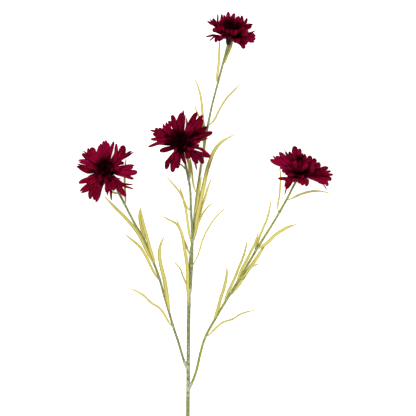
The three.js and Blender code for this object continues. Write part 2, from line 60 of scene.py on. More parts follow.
# Petals of a bloom: the seat on its calyx, the way it faces, a painted brightness that lightens or shades
# all its petals, its painted shadows as (right, up, reach) from the seat, and its outer florets. A floret is
# (rise of its tips along the axis, its rim). A rim goes anticlockwise as seen from above, in (right, up) from
# the seat: shoulder, tip, notch, tip, notch and so on, ending with its other shoulder.
BLOOMS = {
    "left": {
        "seat": (-82, 276, 15.9),
        "axis": (-0.25, 0.35, 0.9),
        "seed": 11,
        "bright": 1.05,
        "painted_shadows": [
            (-2.5, 4, 8.5), (-9, -7, 5), (-7.5, -11, 3.6), (-4.6, -13.5, 3), (4, -6.5, 4.5), (3, -9.5, 2.6),
            (-14, -3, 4), (8, -2, 4)],
        "florets": [
            (4, [(20, -7.8), (27.2, -9.2), (25.2, -6), (31.3, -2.2), (24.8, 0.3), (27, 1.9), (26.6, 3.4),
                 (27.4, 5.3), (21, 5.4)]),
            (6, [(14, 5), (17.8, 7.3), (12, 9)]),
            (3, [(17.5, 10.8), (26.4, 16.6), (25, 17.4), (24.9, 19.2), (20, 17.3), (17.6, 24.5), (12.2, 18)]),
            (7, [(12.2, 17), (10.3, 26.2), (8.2, 17)]),
            (3, [(6.6, 18), (7.8, 28.2), (3, 20)]),
            (2, [(4.8, 20), (2.9, 26.6), (1.8, 25.8), (0.2, 29.6), (-1.3, 27.6), (-2.7, 29.1), (-4.3, 25.2),
                 (-5.6, 26.3), (-6.4, 23), (-7.4, 23.9), (-9.3, 18)]),
            (-1.5, [(-9.8, 18.6), (-13.9, 22.7), (-16.4, 19.2), (-18, 22.2), (-19.4, 18), (-23.2, 19.2),
                    (-19.6, 16), (-24, 16), (-20.2, 10.6)]),
            (-1, [(-20, 11), (-27.4, 10.2), (-25.2, 8.8), (-26, 7), (-18.4, 5)]),
            (0, [(-24, 5.4), (-29.7, 6.4), (-26.8, 4.8), (-29.4, 3), (-25.8, 2), (-26, 0.2), (-17.5, -3.8)]),
            (3, [(-15.5, -6), (-27, -12), (-20, -13.6), (-25.8, -20.1), (-22.8, -20.2), (-23.5, -22.9),
                 (-14.5, -19.4)]),
            (2, [(-17.6, -21), (-16.6, -28.5), (-13.6, -26.6), (-11.8, -30.1), (-10.4, -27.4), (-8.6, -31.2),
                 (-4.2, -20)]),
            (6, [(-1, -15.5), (-0.1, -22), (2.2, -19.8), (4.5, -21.5), (6.5, -19.5), (8.3, -20.3),
                 (10.4, -16)]),
            (1, [(1.5, -18.5), (1.1, -25.2), (3.4, -21), (5.3, -30.2), (6.2, -19.5)]),
            (1, [(11.6, -20.3), (19.8, -26.2), (17.2, -17.6), (26.8, -18.9), (20.6, -15.4), (26.5, -14.7),
                 (17, -13)]),
            (12, [(6, -4.5), (4, -10), (0.6, -4.5)]),
            (11, [(-4, -5), (-6.6, -11.4), (-8.5, -4)]),
            (12, [(-8, -3.5), (-11, -8), (-10, -2)]),
            (14, [(1, 0.5), (3.8, 2.4), (1, 3.6)]),
            (13, [(4.4, -2), (7.4, 0.4), (4.4, 2)]),
        ],
    },
    "centre": {
        "seat": (-7, 301, 31),
        "axis": (-0.12, 0.55, 0.83),
        "seed": 23,
        "bright": 0.84,
        "painted_shadows": [
            (-3, 6, 10), (2, -1, 8), (10, 9.5, 5.5), (16, 11, 4), (-13, 2, 4.5), (-9, -3.5, 4), (9, 1.5, 4.5),
            (-14, 9, 3)],
        "florets": [
            (4, [(22.4, 6.9), (31.2, 12), (25, 13.6), (26.6, 18.9), (25, 18), (23.4, 18.7), (19.6, 16.6)]),
            (8, [(17.4, 3), (26.5, 6.7), (18, 5.4)]),
            (9, [(13.5, -3), (18, -1), (16.4, 1.2), (18.6, 3.6), (13, 5)]),
            (8, [(20.4, 17.6), (22.2, 24.1), (20.6, 25), (21, 29.8), (15.4, 25.8), (14.6, 32.4),
                 (6.6, 21.6)]),
            (8, [(6.9, 19), (5.7, 27.2), (5, 19)]),
            (6, [(4, 21), (4.4, 30), (3.4, 27.8), (2.4, 34.6), (0.8, 29.8), (-0.9, 31.8), (-4.8, 23)]),
            (8, [(-4.6, 25), (-8.8, 29.8), (-10.2, 24.4), (-12.8, 22.6), (-9, 17.8)]),
            (5, [(-9.4, 16), (-12, 21.2), (-13.2, 19.2), (-14.5, 22.8), (-16, 19.3), (-17.9, 20.6),
                 (-18.2, 15)]),
            (0, [(-17.6, 15), (-20.9, 17.2), (-22.5, 16), (-25.1, 17.2), (-26.4, 15.2), (-30.6, 14.6),
                 (-27, 12.5), (-27, 9.2), (-20, 6.8)]),
            (2, [(-23, 7.6), (-30, 5.8), (-24.8, 3.4), (-32.6, -1.9), (-22.4, 0.2)]),
            (8, [(-15.5, -1.8), (-21, -6.2), (-13.5, -6.8)]),
            (1, [(-16.2, -16.8), (-14.4, -24), (-10.7, -17.6), (-8.6, -26.9), (-3.8, -17)]),
            (2, [(-5.2, -16.6), (-3.4, -23.4), (-0.2, -15.6)]),
            (3, [(0.2, -13.8), (4.6, -19.2), (4.2, -13.6)]),
            (5, [(4.2, -8.6), (7, -13.7), (10.6, -8.6)]),
            (2, [(10.2, -12.8), (15, -18.6), (17.4, -15.2), (21.8, -18.6), (22.4, -12.8)]),
            (3, [(11.6, -12), (15.6, -24.6), (14.2, -13.4)]),
            (3, [(19.6, -6.8), (29, -11.6), (20.6, -11.6)]),
            (4, [(18.4, -4.6), (29.2, -10.8), (20.6, -2.4)]),
            (11, [(10.5, -1), (14, 4), (9, 5.5)]),
            (12, [(-3.4, -3.5), (-6.4, -7), (-6.6, -1.5)]),
            (13, [(3.6, 4.6), (6.6, 8.6), (1.6, 7.6)]),
            (12, [(0.8, -3.6), (5.2, -2), (3.4, 1)]),
            (13, [(-4, 8), (-6, 12.8), (-8, 7.4)]),
            (12, [(5.6, 0.8), (11, 2.6), (6.6, 4)]),
            (12, [(0.6, 9), (-1, 14), (-3.4, 9.6)]),
        ],
    },
    "top": {
        "seat": (41.5, 409, 21.5),
        "axis": (0.17, 0.85, 0.5),
        "seed": 37,
        "bright": 0.88,
        "painted_shadows": [(2, 13, 8), (9, 11, 4.5), (-2.5, 2.5, 2.8), (10, 2, 3.5), (-14, 11, 3)],
        "florets": [
            (1, [(-17, 3), (-23.8, 0), (-17.2, 0.2), (-20.2, -4), (-15, -0.8), (-14.4, -5), (-11.4, -3.4),
                 (-9.4, -4), (-5.4, -0.4)]),
            (5, [(-13.5, 9.6), (-17.2, 7), (-14, 4.6)]),
            (6, [(-13, 15), (-16, 18.6), (-17.3, 16.4), (-19.4, 17.8), (-19.2, 15.6), (-21.8, 14.8),
                 (-15.4, 10.6)]),
            (7, [(-11, 14), (-11.7, 22.8), (-12.9, 14)]),
            (8, [(-5.2, 15.8), (-5.5, 22.6), (-6.4, 19), (-8, 22.6), (-9.2, 15)]),
            (10, [(7.4, 15.4), (9.4, 20.7), (5.6, 19), (4.6, 23.8), (0.9, 19.6), (-1.5, 25), (-3.8, 17)]),
            (9, [(17, 12.8), (17.6, 18.9), (14.4, 15.6), (12.3, 21.6), (10.4, 14)]),
            (5, [(19.8, 7.8), (22, 10), (21.6, 11.2), (22.7, 13), (17.2, 13)]),
            (2, [(18, -4.4), (23.2, -5.5), (24.4, -3.6), (26, -1.8), (24.6, -0.2), (25.4, 2.2), (20.6, 5)]),
            (3, [(21, 3), (26.1, 6.5), (20.4, 4.4)]),
            (-1, [(10.6, -8.2), (14.6, -11.6), (15.4, -7.4), (17, -7.4), (18.4, -4)]),
            (1, [(3, 10), (0.6, 17), (-1.4, 16), (-3.6, 18), (-5.4, 16.4), (-7.6, 16.8), (-11, 10)]),
            (1.5, [(15, 8), (13, 14), (11, 14), (9, 17), (7, 16), (4.4, 17.4), (2, 11)]),
            (8, [(-10.5, 2), (-8.4, -2), (-6.4, -0.7), (-3.8, -1), (-2, 1.5)]),
            (9, [(-2.6, 1.5), (-0.5, -1), (2, 1)]),
            (8, [(1, 0.5), (4.5, -5.2), (6, -4.4), (8.7, -6), (11.5, -1.5)]),
            (15, [(8.5, 2), (7.2, 6.9), (4.6, 6.1), (2, 7.7), (0, 6), (-2.2, 6.9), (-3.8, 2)]),
            (11, [(-5, 5), (-6.5, 12), (-9, 10.6), (-11.8, 12.8), (-13, 6)]),
            (10, [(18.5, 1), (18, 7.6), (15.5, 6.6), (13.5, 9.5), (10, 5)]),
        ],
    },
    "right": {
        "seat": (110, 273, 21.2),
        "axis": (0.22, 0.84, 0.5),
        "seed": 53,
        "bright": 1.15,
        "painted_shadows": [(-8, 8, 3), (-4.5, 8.5, 2.6), (0, -2.5, 4.5), (9, 2, 3.5), (0, 13, 3), (-10, 1, 3)],
        "florets": [
            (3, [(-14.6, 13.6), (-20, 17.1), (-22.3, 15.8), (-25, 17.1), (-24.2, 14.2), (-27.4, 11.8),
                 (-19.5, 7)]),
            (6, [(-15.5, 8.5), (-18, 5.4), (-15.6, 3.6), (-15.4, 1), (-12.5, 0), (-11, -2.2), (-4.5, -3)]),
            (4, [(-11.2, 16.2), (-18, 20.8), (-17, 15.2)]),
            (3.8, [(-6.2, 17.5), (-8.2, 21.5), (-10, 19.2), (-12.9, 21.5), (-11.3, 16)]),
            (3.8, [(-12, 19), (-14.1, 25.4), (-12.7, 19)]),
            (10, [(3.6, 15.6), (2.6, 20), (1, 19), (-3.2, 26.8), (-6.4, 18.6)]),
            (6, [(8.8, 14.2), (7, 19), (5.2, 16.6), (4, 18), (2.4, 14)]),
            (6, [(13.8, 12), (12.6, 17.4), (8.6, 14)]),
            (3.8, [(17.8, 9), (17.5, 14.5), (12.8, 12)]),
            (3.8, [(21.6, 4.4), (22.8, 8), (21.8, 8.8), (21.2, 10.8), (16.4, 9)]),
            (3, [(30, -3), (35.1, -1.8), (31, 0), (32.9, 2.2), (28.5, 2.4), (29.1, 6.5), (21, 4.6)]),
            (-1, [(19, -8.8), (25, -11.4), (26.2, -10), (29.8, -13), (30, -8.2), (33.5, -6.4), (30.2, -2.6)]),
            (-1, [(24.4, -10.6), (28.8, -16.8), (25.4, -10)]),
            (0, [(-1, -7.4), (0.8, -10.4), (2, -9.8), (4.4, -12.2), (6.6, -10.6), (9.2, -12.8), (11, -6.8)]),
            (-3, [(-11, -4), (-19.7, -5.3), (-13.4, -8), (-13.5, -13.5), (-12.2, -12.6), (-10.9, -15.9),
                  (-6, -10.2)]),
            (-6, [(-11.8, -13.6), (-13.4, -21.8), (-10.4, -14.2)]),
            (16, [(-1.5, 4), (-2.6, 11), (-5.8, 9), (-9, 9.8), (-10.5, 3)]),
            (17, [(9.5, 4), (8.4, 11.5), (5.2, 10), (2.2, 13), (0, 10.6), (-2.8, 12), (-3.2, 5)]),
            (13, [(16, 0), (15.4, 8.5), (12.5, 7.4), (10, 11), (7.5, 4)]),
        ],
    },
}

# Rings of small florets round the middle: how many, reach, rise, how far both vary, the number of
# lobes and their width. Every kind of floret has the distance of its root from the axis, how soon it
# spreads (1 is straight-sided, less is rounder), how far its sides cup, how bright it stays in the
# painted shade of the middle (least, and how much more), and how bright at least under a painted shadow.
RINGS = {
    "inner": {
        "count": 11, "reach": 9.2, "rise": 9.5, "vary": 5, "lobes": 2, "width": 1.7,
        "root": 2.9, "full": 0.6, "cup": 1.6, "lit": (0, 0.6), "over": 0},
    "curled": {
        "count": 9, "reach": 6, "rise": 10.5, "vary": 3.4, "lobes": 1, "width": 1.8,
        "root": 2.9, "full": 0.5, "cup": 1.8, "lit": (0, 0.6), "over": 0},
}
OUTER = {"root": 2.2, "full": 0.65, "cup": 0.9, "lit": (0, 0), "over": 0}
COVER = {"root": 2.5, "full": 0.6, "cup": 1.6, "lit": (0, 0), "over": 0}
CURL = {"root": 2.6, "full": 0.6, "cup": 1.8, "lit": (0.06, 0.4), "over": 0.45}
# How far a floret of a ring may stray (in steps of the ring), the reach of its notches as a share of
# its tips', and how much the sides of its rim draw in
RING_TURN = 1.6
RING_NOTCH = 0.7
RING_ROUND = 0.04
# Rounding the sheet draws tips and notches in, so both start this share of a lobe's length beyond
OVERSHOOT = {"tip": 0.05, "notch": 0.22}
# A shorter floret lies on most outer ones: its share of the reach and how much higher its tips stand
# (both least, and how much more), and how far it may turn aside (degrees). Florets of one lobe, and the
# curls from CURLED_FROM up, lie alone.
COMPANION = {"reach": (0.527, 0.186), "rise": (2.52, 3.36), "turn": 12}
CURLED_FROM = 11
# Folds of a floret: the share of its length at which it starts to open and over which it does, its
# bend as a share of the rise of its tips, how deep it cups (least, and how much more) and from which
# width in full, how far its pleats fade towards the tips, its ripples (least, and how much more) and
# their waves along, across and askew, how far its lobes curl back and from which width in full, and
# how far a lobe leans
FOLDS = {
    "open": (0.12, 0.5), "bend": 0.8, "cup": (0.3, 1), "cup_width": 6, "fade": 0.4, "ripple": (0.35, 0.5),
    "waves": (7.5, 4.5, 3), "back": 0.35, "curl_width": 4, "lean": 0.55}
ROOT_HEIGHT = 0.2
# Painted shade in the middle of a bloom: nearly black up to the first distance from its axis, and at full
# colour from the second
HEART_PAINTED_SHADE = (4.5, 12.5)
# Painted shade at the root of a floret, fading out by this share of its length
ROOT_SHADE = 0.5
# Painted shade along the sides of a floret, where its neighbours would shade it: how dark it gets, and the
# share of its length at which that ends
SIDE_SHADE = (1.2, 0.95)
# How much darker than its neighbours a floret may be
UNEVEN = 0.38
# How a painted shadow lightens over its reach, from how far below nothing, and how bright a floret
# stays in it (least, and how much more)
PAINTED_SHADOW = {"grade": 1.4, "below": 0.5, "lit": (0.04, 0.9)}
CORE = {"radius": 2.9, "foot": -0.4, "top": 4.6}
# Each floret's map starts this far from the last one's, so that no two share their creases
MAP_STEP = 7
# No point of a floret or leaf lies lower
LOWEST = {"floret": 0.2, "leaf": 0.25}
# Height of the camera and of the plane in which the rims are drawn, and the point under the camera
VIEW = {"eye": 3470, "plane": 3, "aim": (20, 238)}
# A full turn, as ripples and waves use it
FULL_TURN = 6.28

# The dark tuft: distance from the axis of its outermost feet and heads, height of the feet and of a
# head on the axis, how much lower the outer heads stand, how uneven they are, how far the closed
# florets bow out, and what their seed adds to the bloom's. Their outline is given as (share of the
# height, share of the width).
TUFT = {
    "foot": 2.1, "head": 3.4, "base": 4.9, "top": 11.9, "droop": 1.6, "uneven": 0.8, "bow": 0.7, "seed": 100}
STAMEN = {"radius": 0.48, "outline": [(0.3, 0.8), (0.6, 0.95), (0.78, 1.5), (0.92, 1.1), (1.0, 0.4)]}
DOME = {"size": (2.3, 2.3, 1.7), "height": 6.7}

# A calyx: its length, its radius at foot and rim, the power by which it widens, and how far its rim
# stays below the seat. Its scales: rows' height left free at the rim, their length in rows and width
# in steps, how pointed they are, the least of their width, how far they start off the cup and flare,
# their keel and thickness.
CALYX = {"length": 9.5, "foot": 1.2, "rim": 3.3, "widen": 0.8, "lip": 0.35}
SCALE = {
    "free": 0.6, "length": 1.75, "width": 1.25, "point": 2.2, "least": 0.004, "lift": 0.12, "flare": 0.42,
    "keel": 0.16, "thickness": 0.22}

# Stems: listed routes, each as far as the neck under its bloom
STEMS = {
    "main": {
        "bloom": "top",
        "route": [
            (0, 0, 1.76), (-0.2, 30, 1.8), (0.2, 81, 1.9), (0.3, 112, 2.1), (0.8, 149, 2.3),
            (0.2, 157, 2.4), (1.5, 176, 2.6), (2.8, 195.4, 2.9), (4.6, 208, 3.2),
            (6.6, 230.5, 3.6), (9.2, 256, 4.1), (11.6, 271, 4.5), (16.2, 299.3, 5.2),
            (19.1, 316.5, 5.8), (23.8, 339.7, 6.6), (30, 363.7, 8), (36.4, 388, 11),
        ],
    },
    "left": {
        "bloom": "left",
        "route": [
            (-0.6, 77, 2), (-2.1, 80.4, 2.1), (-4.4, 86, 2.2), (-9.7, 104, 2.8), (-15.1, 120.2, 3.2),
            (-19.3, 135, 3.4), (-23, 147, 3.5), (-29.1, 169, 3.6), (-34.4, 183.3, 3.6),
            (-43.6, 205.5, 3.4), (-53.6, 223, 3.2), (-63.5, 242, 2.8), (-70.4, 256, 2.5),
            (-76.6, 268.2, 3.1),
        ],
    },
    "centre": {
        "bloom": "centre",
        "route": [
            (1, 149.5, 2.7), (2.3, 156, 3.8), (3.1, 167, 4.7), (4.1, 186, 5.4), (4.2, 199, 5.9),
            (4.4, 211, 6.4), (3.7, 224, 7), (2.8, 237, 7.8), (2.2, 256, 9), (0.1, 269, 10.4),
            (-1.9, 279, 12.6), (-4.2, 290, 17.6),
        ],
    },
    "right": {
        "bloom": "right",
        "route": [
            (0.4, 56, 2), (2, 59.5, 2.1), (5.6, 67.3, 2.3), (8.6, 76.5, 2.5), (13.2, 96.4, 3),
            (17.8, 110.2, 3.4), (27, 127, 4.1), (40.8, 150, 5), (54.4, 172.3, 6), (69.3, 198, 7.3),
            (83.8, 221, 8.8), (99, 247.5, 11.2), (105, 259.5, 13.8),
        ],
    },
}
BRANCHES = ("left", "centre", "right")
STEM_STEP = 2.5
# Radius of the main stem at places along it, and of a side stem at its ends
STEM_WIDTHS = {"at": (0, 149, 157, 390), "radius": (1.93, 1.79, 1.2, 1.12)}
BRANCH = {"foot": 1.28, "head": 1.22}
# The sleeve of a side stem: its length and radius, how deep the side stem is plugged in (share of its
# length), and its profile as (share of its length, how far it stands out from the radius)
COLLAR = {
    "length": 8, "radius": 1.6, "plug": 0.8,
    "profile": [(0, -0.1), (0.3, 0), (0.8, 0), (0.9, 0.2), (0.97, 0.2), (1, -0.25)]}
# Room between the end of a neck's route and its calyx, and how far the stem goes on from there
NECK_GAP = 0.7
NECK_INSIDE = 1.2
# How far a stem swells where something leaves it (share of its radius), and over which distance
JOIN = {"swell": 0.14, "reach": 2.2}
# Powder all over a stem, more round its joins, and on the white flecked stretch of the main one
POWDER = {"stem": 0.15, "join": 0.5, "flecks": 0.35}
FLECKS = (50, 108)
# How olive each stem is
OLIVE = {"main": 0.16, "left": 0.14, "centre": 0.04, "right": 0.42}

# Leaves: width, the side of the stem that each leaves by (degrees up from level), how far its tip
# climbs, and its route seen from above
LEAVES = {
    "left": [
        (3, 50, 9, [(-35.2, 185), (-42, 197), (-49.7, 212.4), (-61.2, 227), (-72.7, 238.5), (-82, 248.4)]),
        (2.7, 20, 13, [(-34.4, 183.3), (-37.2, 195), (-39.6, 203.9), (-41.6, 211.3), (-44.1, 221),
                       (-45.9, 229.6), (-47, 236.6)]),
        (2.5, -5, 2, [(-43.6, 206.3), (-45.9, 215.3), (-47.9, 223.9), (-48.7, 229.6), (-48.2, 234),
                      (-47.5, 238)]),
        (2.3, 10, 5, [(-30.2, 166.5), (-34.4, 174.2), (-42, 189.5), (-48.2, 199.4), (-56, 206.3),
                      (-63.5, 212)]),
        (3.6, 55, 10, [(-19.3, 136), (-20.7, 147), (-23.7, 166.5), (-27.5, 182), (-28.7, 193.3), (-27.5, 201),
                       (-24.1, 209)]),
        (1.8, 5, 6, [(-15.1, 120.5), (-19, 123.2), (-22.7, 130), (-26.6, 136.2), (-30.4, 139.7),
                     (-36.5, 143), (-43.4, 150), (-50.5, 154.6), (-58.2, 158)]),
        (1.6, 0, 2, [(-63.5, 242), (-62.6, 249), (-63.4, 266), (-62.5, 283), (-62, 286)]),
        (1.4, 10, 2, [(-69, 253.3), (-73, 253), (-77.5, 254.8)]),
    ],
    "top": [
        (3.3, 10, 2, [(35.6, 382.5), (38.1, 389), (39.2, 391.5), (41, 395.5), (42.7, 400), (44.3, 405)]),
        (2.2, 20, 7, [(29.4, 363.7), (28.9, 368.2), (30.2, 377.4), (31, 385.6), (31.3, 394.3), (31.5, 403)]),
        (1.8, 10, 8, [(20.4, 321.6), (23.7, 322.8), (27.1, 327.4), (30.5, 334.6), (34.6, 341.7),
                      (39.1, 348.3), (45.8, 355), (52.4, 362)]),
        (1.5, -20, 1, [(17.6, 307), (14.4, 316), (10.6, 329.5), (9, 333.6), (6.7, 340.2)]),
        (2.2, 75, 12, [(12.8, 276), (14.8, 288), (16.2, 300), (15.8, 316), (14.8, 328), (13.6, 343),
                       (12.1, 352), (9.6, 360), (6.2, 368.2)]),
        (3.5, 0, 12, [(5.2, 212), (7.6, 220.3), (9.6, 230.5), (12, 243), (14.8, 256), (19.1, 275.7),
                      (21.9, 284.3), (24.8, 292.4), (28.3, 298), (33, 303.3), (41, 308.4), (47.2, 312)]),
        (2, -35, 2, [(4.2, 204.4), (10.1, 223.4), (12, 232), (14, 240), (17, 248.3), (20.2, 259.6),
                     (23.1, 266.5)]),
        (2, 80, 9, [(6.9, 233), (9.2, 243), (11.1, 256), (13.3, 268.3)]),
        (1.3, 10, 3, [(9, 254.2), (6.2, 258), (5.1, 262.5), (4.1, 273), (3, 282.6), (1.5, 290)]),
    ],
    "centre": [
        (2.3, 10, 3, [(0.4, 267), (1.8, 273), (1.3, 281.5), (-0.8, 288), (-5.9, 294.6)]),
        (1.4, 10, 1, [(-2, 277), (-5, 279.6), (-8, 282)]),
        (1.5, 20, 7, [(2.7, 236.2), (-1, 238.5), (-3, 243), (-5.6, 248), (-8.5, 254), (-16.5, 263.7),
                      (-21.1, 269)]),
        (2, -10, 1, [(4.4, 203.3), (1.2, 212), (-0.1, 221), (-2.5, 238), (-5, 247.6), (-8.2, 259.4)]),
        (1.4, 25, 8, [(4, 181.1), (8.8, 188), (11.5, 195.6), (14.2, 205), (17.3, 212.4), (22.6, 221.6),
                      (28.7, 230), (35, 236), (40.2, 240)]),
        (1.6, 40, 7, [(4.4, 207), (8.1, 217), (11.1, 224.7), (14.2, 231.6), (17.3, 236.2), (21.1, 240.4),
                      (25.3, 243)]),
    ],
    "base": [
        (1.6, 0, 3, [(2.6, 192.2), (-1, 198.6), (-4.2, 206.3), (-7.4, 214), (-9.3, 219), (-12.5, 223),
                     (-17, 225.4), (-22, 228), (-27.2, 230.2)]),
        (3, 88, 8, [(0.7, 142), (-0.4, 158), (-0.4, 173), (-0.9, 179.5), (-2.1, 188.4), (-3.8, 198.6),
                    (-5.5, 209), (-9.6, 221.6), (-11.9, 228)]),
        (1.4, -5, 2, [(0.6, 160), (-3.6, 166), (-5.5, 170.5), (-7.1, 176.3), (-10, 180), (-13.2, 184)]),
    ],
    "right": [
        (1.7, 0, 6, [(98.4, 246.7), (103.8, 247.6), (110.5, 251), (117.7, 253.4), (124.8, 254.8),
                     (132, 254.6), (139.7, 253.4)]),
        (1.6, 15, 4, [(91.2, 233.8), (89.6, 238), (89.7, 242.4), (91.1, 248.6), (91.8, 256), (92.1, 264.4),
                      (92.3, 272.5), (91.6, 276.3)]),
        (2, 0, 3, [(67.6, 195.6), (68.4, 200.2), (71.6, 209.4), (75.4, 218.6), (79.2, 227.7), (81.5, 237),
                   (82.7, 245.7)]),
        (2.4, 30, 12, [(50.4, 166.5), (53.2, 175.7), (58.6, 185.6), (63, 194.8), (67, 203.2), (70.1, 213.2)]),
        (2.2, 5, 4, [(37.6, 145.6), (38.7, 151.2), (42.5, 159), (47.1, 169), (50.5, 178), (54.3, 187),
                     (57.4, 197), (59.3, 206.7)]),
        (2.8, 30, 12, [(27, 127.4), (29.8, 137.2), (32.6, 148), (36.1, 158.5), (38.6, 171), (38.9, 179.4)]),
        (3, 20, 6, [(69.8, 198.4), (72.6, 199), (78.5, 202.5), (86.9, 211), (92.3, 214.7), (99.1, 218.6),
                    (107.6, 221.6)]),
        (3, -40, -0.5, [(42.4, 152), (50.4, 161), (58.8, 174), (68, 187), (74, 196.5), (78, 202)]),
        (1.5, 45, 6, [(51.8, 168), (57, 171), (60.9, 176.5), (65.5, 180.3), (71.2, 182.2)]),
        (1.6, 5, 6, [(17.8, 110.2), (21.4, 111.6), (25.5, 115.6), (30.8, 121), (36.2, 124.4), (44.6, 127),
                     (52.3, 132), (59.1, 134.3), (67.6, 136.2)]),
    ],
}
# Rounding draws the tip of a leaf in, so it is cut this much longer
TIP_REACH = 0.9
# Room between a leaf and the skin of its stem, how far it may roll and twist (degrees), the length of a
# row and the fewest rows, the power by which it climbs, its share of the width at the foot and the
# length over which it would gain a whole width, the two powers that shape its tip, what rounding takes
# off its width, its least width, and the length of its waves
STRAP = {
    "gap": 0.1, "roll": 14, "twist": 16, "row": 2.6, "rows": 8, "climb": 1.4, "foot": 0.5, "broad": 0.3,
    "tip": (8, 0.8), "rounding": 0.42, "least": 0.8, "wave": 9}
# The stem that each group grows from, and its seed
LEAF_GROUPS = {
    "left": ("left", 4),
    "top": ("main", 3),
    "centre": ("centre", 6),
    "base": ("main", 4),
    "right": ("right", 5),
}

# The flat cut of a floret: rows up to its notches, columns in each lobe, and the outline of a lobe as
# (share of its length, share of its width)
SKIRT_ROWS = 8
LOBE_COLUMNS = 4
CUT_NOTCH = 0.7
LOBE_OUTLINE = [(0.25, 0.96), (0.5, 0.84), (0.7, 0.66), (0.86, 0.44), (0.95, 0.2), (1.0, 0.03)]
# Widths of lobes, in millimetres, and how blunt such a lobe is
BLUNT = ((1.5, 5.0), (0.2, 0.42))

# Colours that the finishes mix in: the gold sides, midrib and dry tip of a leaf, the olive and the dark
# specks of a stem, and the fringe of a scale. A leaf's olive shade is given as shares of its colour.
TINTS = {
    "gold": (0.4, 0.33, 0.03),
    "rib": (0.58, 0.53, 0.27),
    "dry": (0.5, 0.41, 0.15),
    "olive": (0.25, 0.27, 0.03),
    "specks": (0.055, 0.085, 0.03),
    "fringe": (0.07, 0.055, 0.045),
}
LEAF_SHADE = (0.62, 0.68, 0.6)

# Height above the surface at which the view is as wide as its field, and the soft lamps as (place in
# metres, share of the key's power, size in metres)
FIELD_HEIGHT = 20
LAMPS = [((-0.6, 0.65, 1.9), 1, 0.8), ((1.0, -0.6, 1.8), 0.3, 1.2)]


class BloomSettings(bpy.types.PropertyGroup):
    """Sizes of the blooms"""

    cloth: FloatProperty(name="Cloth", description="Thickness of a petal", default=0.28 * MM, unit="LENGTH")
    root: FloatProperty(name="Root", description="Width of a floret's root", default=2.2 * MM, unit="LENGTH")
    arch: FloatProperty(name="Arch", description="How far a floret arches", default=6 * MM, unit="LENGTH")
    pleat: FloatProperty(name="Pleat", description="Depth of the pleats", default=0.55 * MM, unit="LENGTH")
    curl: FloatProperty(name="Curl", description="How far tips curl", default=2.2 * MM, unit="LENGTH")
    scale_rows: IntProperty(name="Scale rows", description="Rows of scales on a calyx", default=7, min=2)
    scales: IntProperty(name="Scales", description="Scales in a row", default=9, min=4)
    stamens: IntProperty(name="Stamens", description="Closed florets in a middle", default=17, min=3)


class LeafSettings(bpy.types.PropertyGroup):
    """Sizes of the leaves and stems"""

    blade: FloatProperty(name="Blade", description="Thickness of a leaf", default=0.35 * MM, unit="LENGTH")
    fold: FloatProperty(name="Fold", description="Fold along the midrib", default=0.34, subtype="FACTOR")
    wave: FloatProperty(name="Wave", description="Waves of the edges", default=0.25 * MM, unit="LENGTH")
    sides: IntProperty(name="Sides", description="Half the sides of a stem", default=6, min=2)


class FinishSettings(bpy.types.PropertyGroup):
    """Colours of the spray"""

    # Partly random deeper tone, partly painted shade in low streaks and along the creases; also the wine red
    # of the tuft's tips
    petal_deep: FloatVectorProperty(
        name="Petal, deep", description="Petals in their folds", subtype="COLOR",
        default=(0.055, 0.0006, 0.004))
    petal_light: FloatVectorProperty(
        name="Petal, light", description="Petals on their lobes", subtype="COLOR",
        default=(0.23, 0.0026, 0.0215))
    # A painted purple sheen on the petals
    petal_painted_sheen: FloatVectorProperty(
        name="Petal, bloom", description="Purple light on petals", subtype="COLOR",
        default=(0.14, 0.0022, 0.034))
    # The tuft's own colour, also painted on the petals as shade in the middle of a bloom, at floret roots and
    # sides, and under painted shadows
    middle: FloatVectorProperty(
        name="Middle", description="Dark middle of a bloom", subtype="COLOR",
        default=(0.0022, 0.0002, 0.0005))
    leaf: FloatVectorProperty(
        name="Leaf", description="Leaves", subtype="COLOR", default=(0.52, 0.46, 0.12))
    stem: FloatVectorProperty(
        name="Stem", description="Stems", subtype="COLOR", default=(0.19, 0.215, 0.075))
    powder: FloatVectorProperty(
        name="Powder", description="Pale powder on stems", subtype="COLOR", default=(0.42, 0.44, 0.33))
    calyx: FloatVectorProperty(
        name="Calyx", description="Calyx scales", subtype="COLOR", default=(0.012, 0.009, 0.008))


# Repeatable draws and routes


def draws(seed):
    """A function that gives repeatable numbers from 0 to 1."""
    state = seed * 7919 + 17

    def draw():
        nonlocal state
        state = (state * 16807) % 2147483647
        return state / 2147483647

    return draw


def drawn(draw, least, more):
    """A number from least up, by at most more."""
    return least + more * draw()


def placed(point):
    """A drawn point in metres, in the part's own frame."""
    x, y, z = point
    return Vector((x - OUTLINE_CENTRE[0], y - OUTLINE_CENTRE[1], z)) * MM


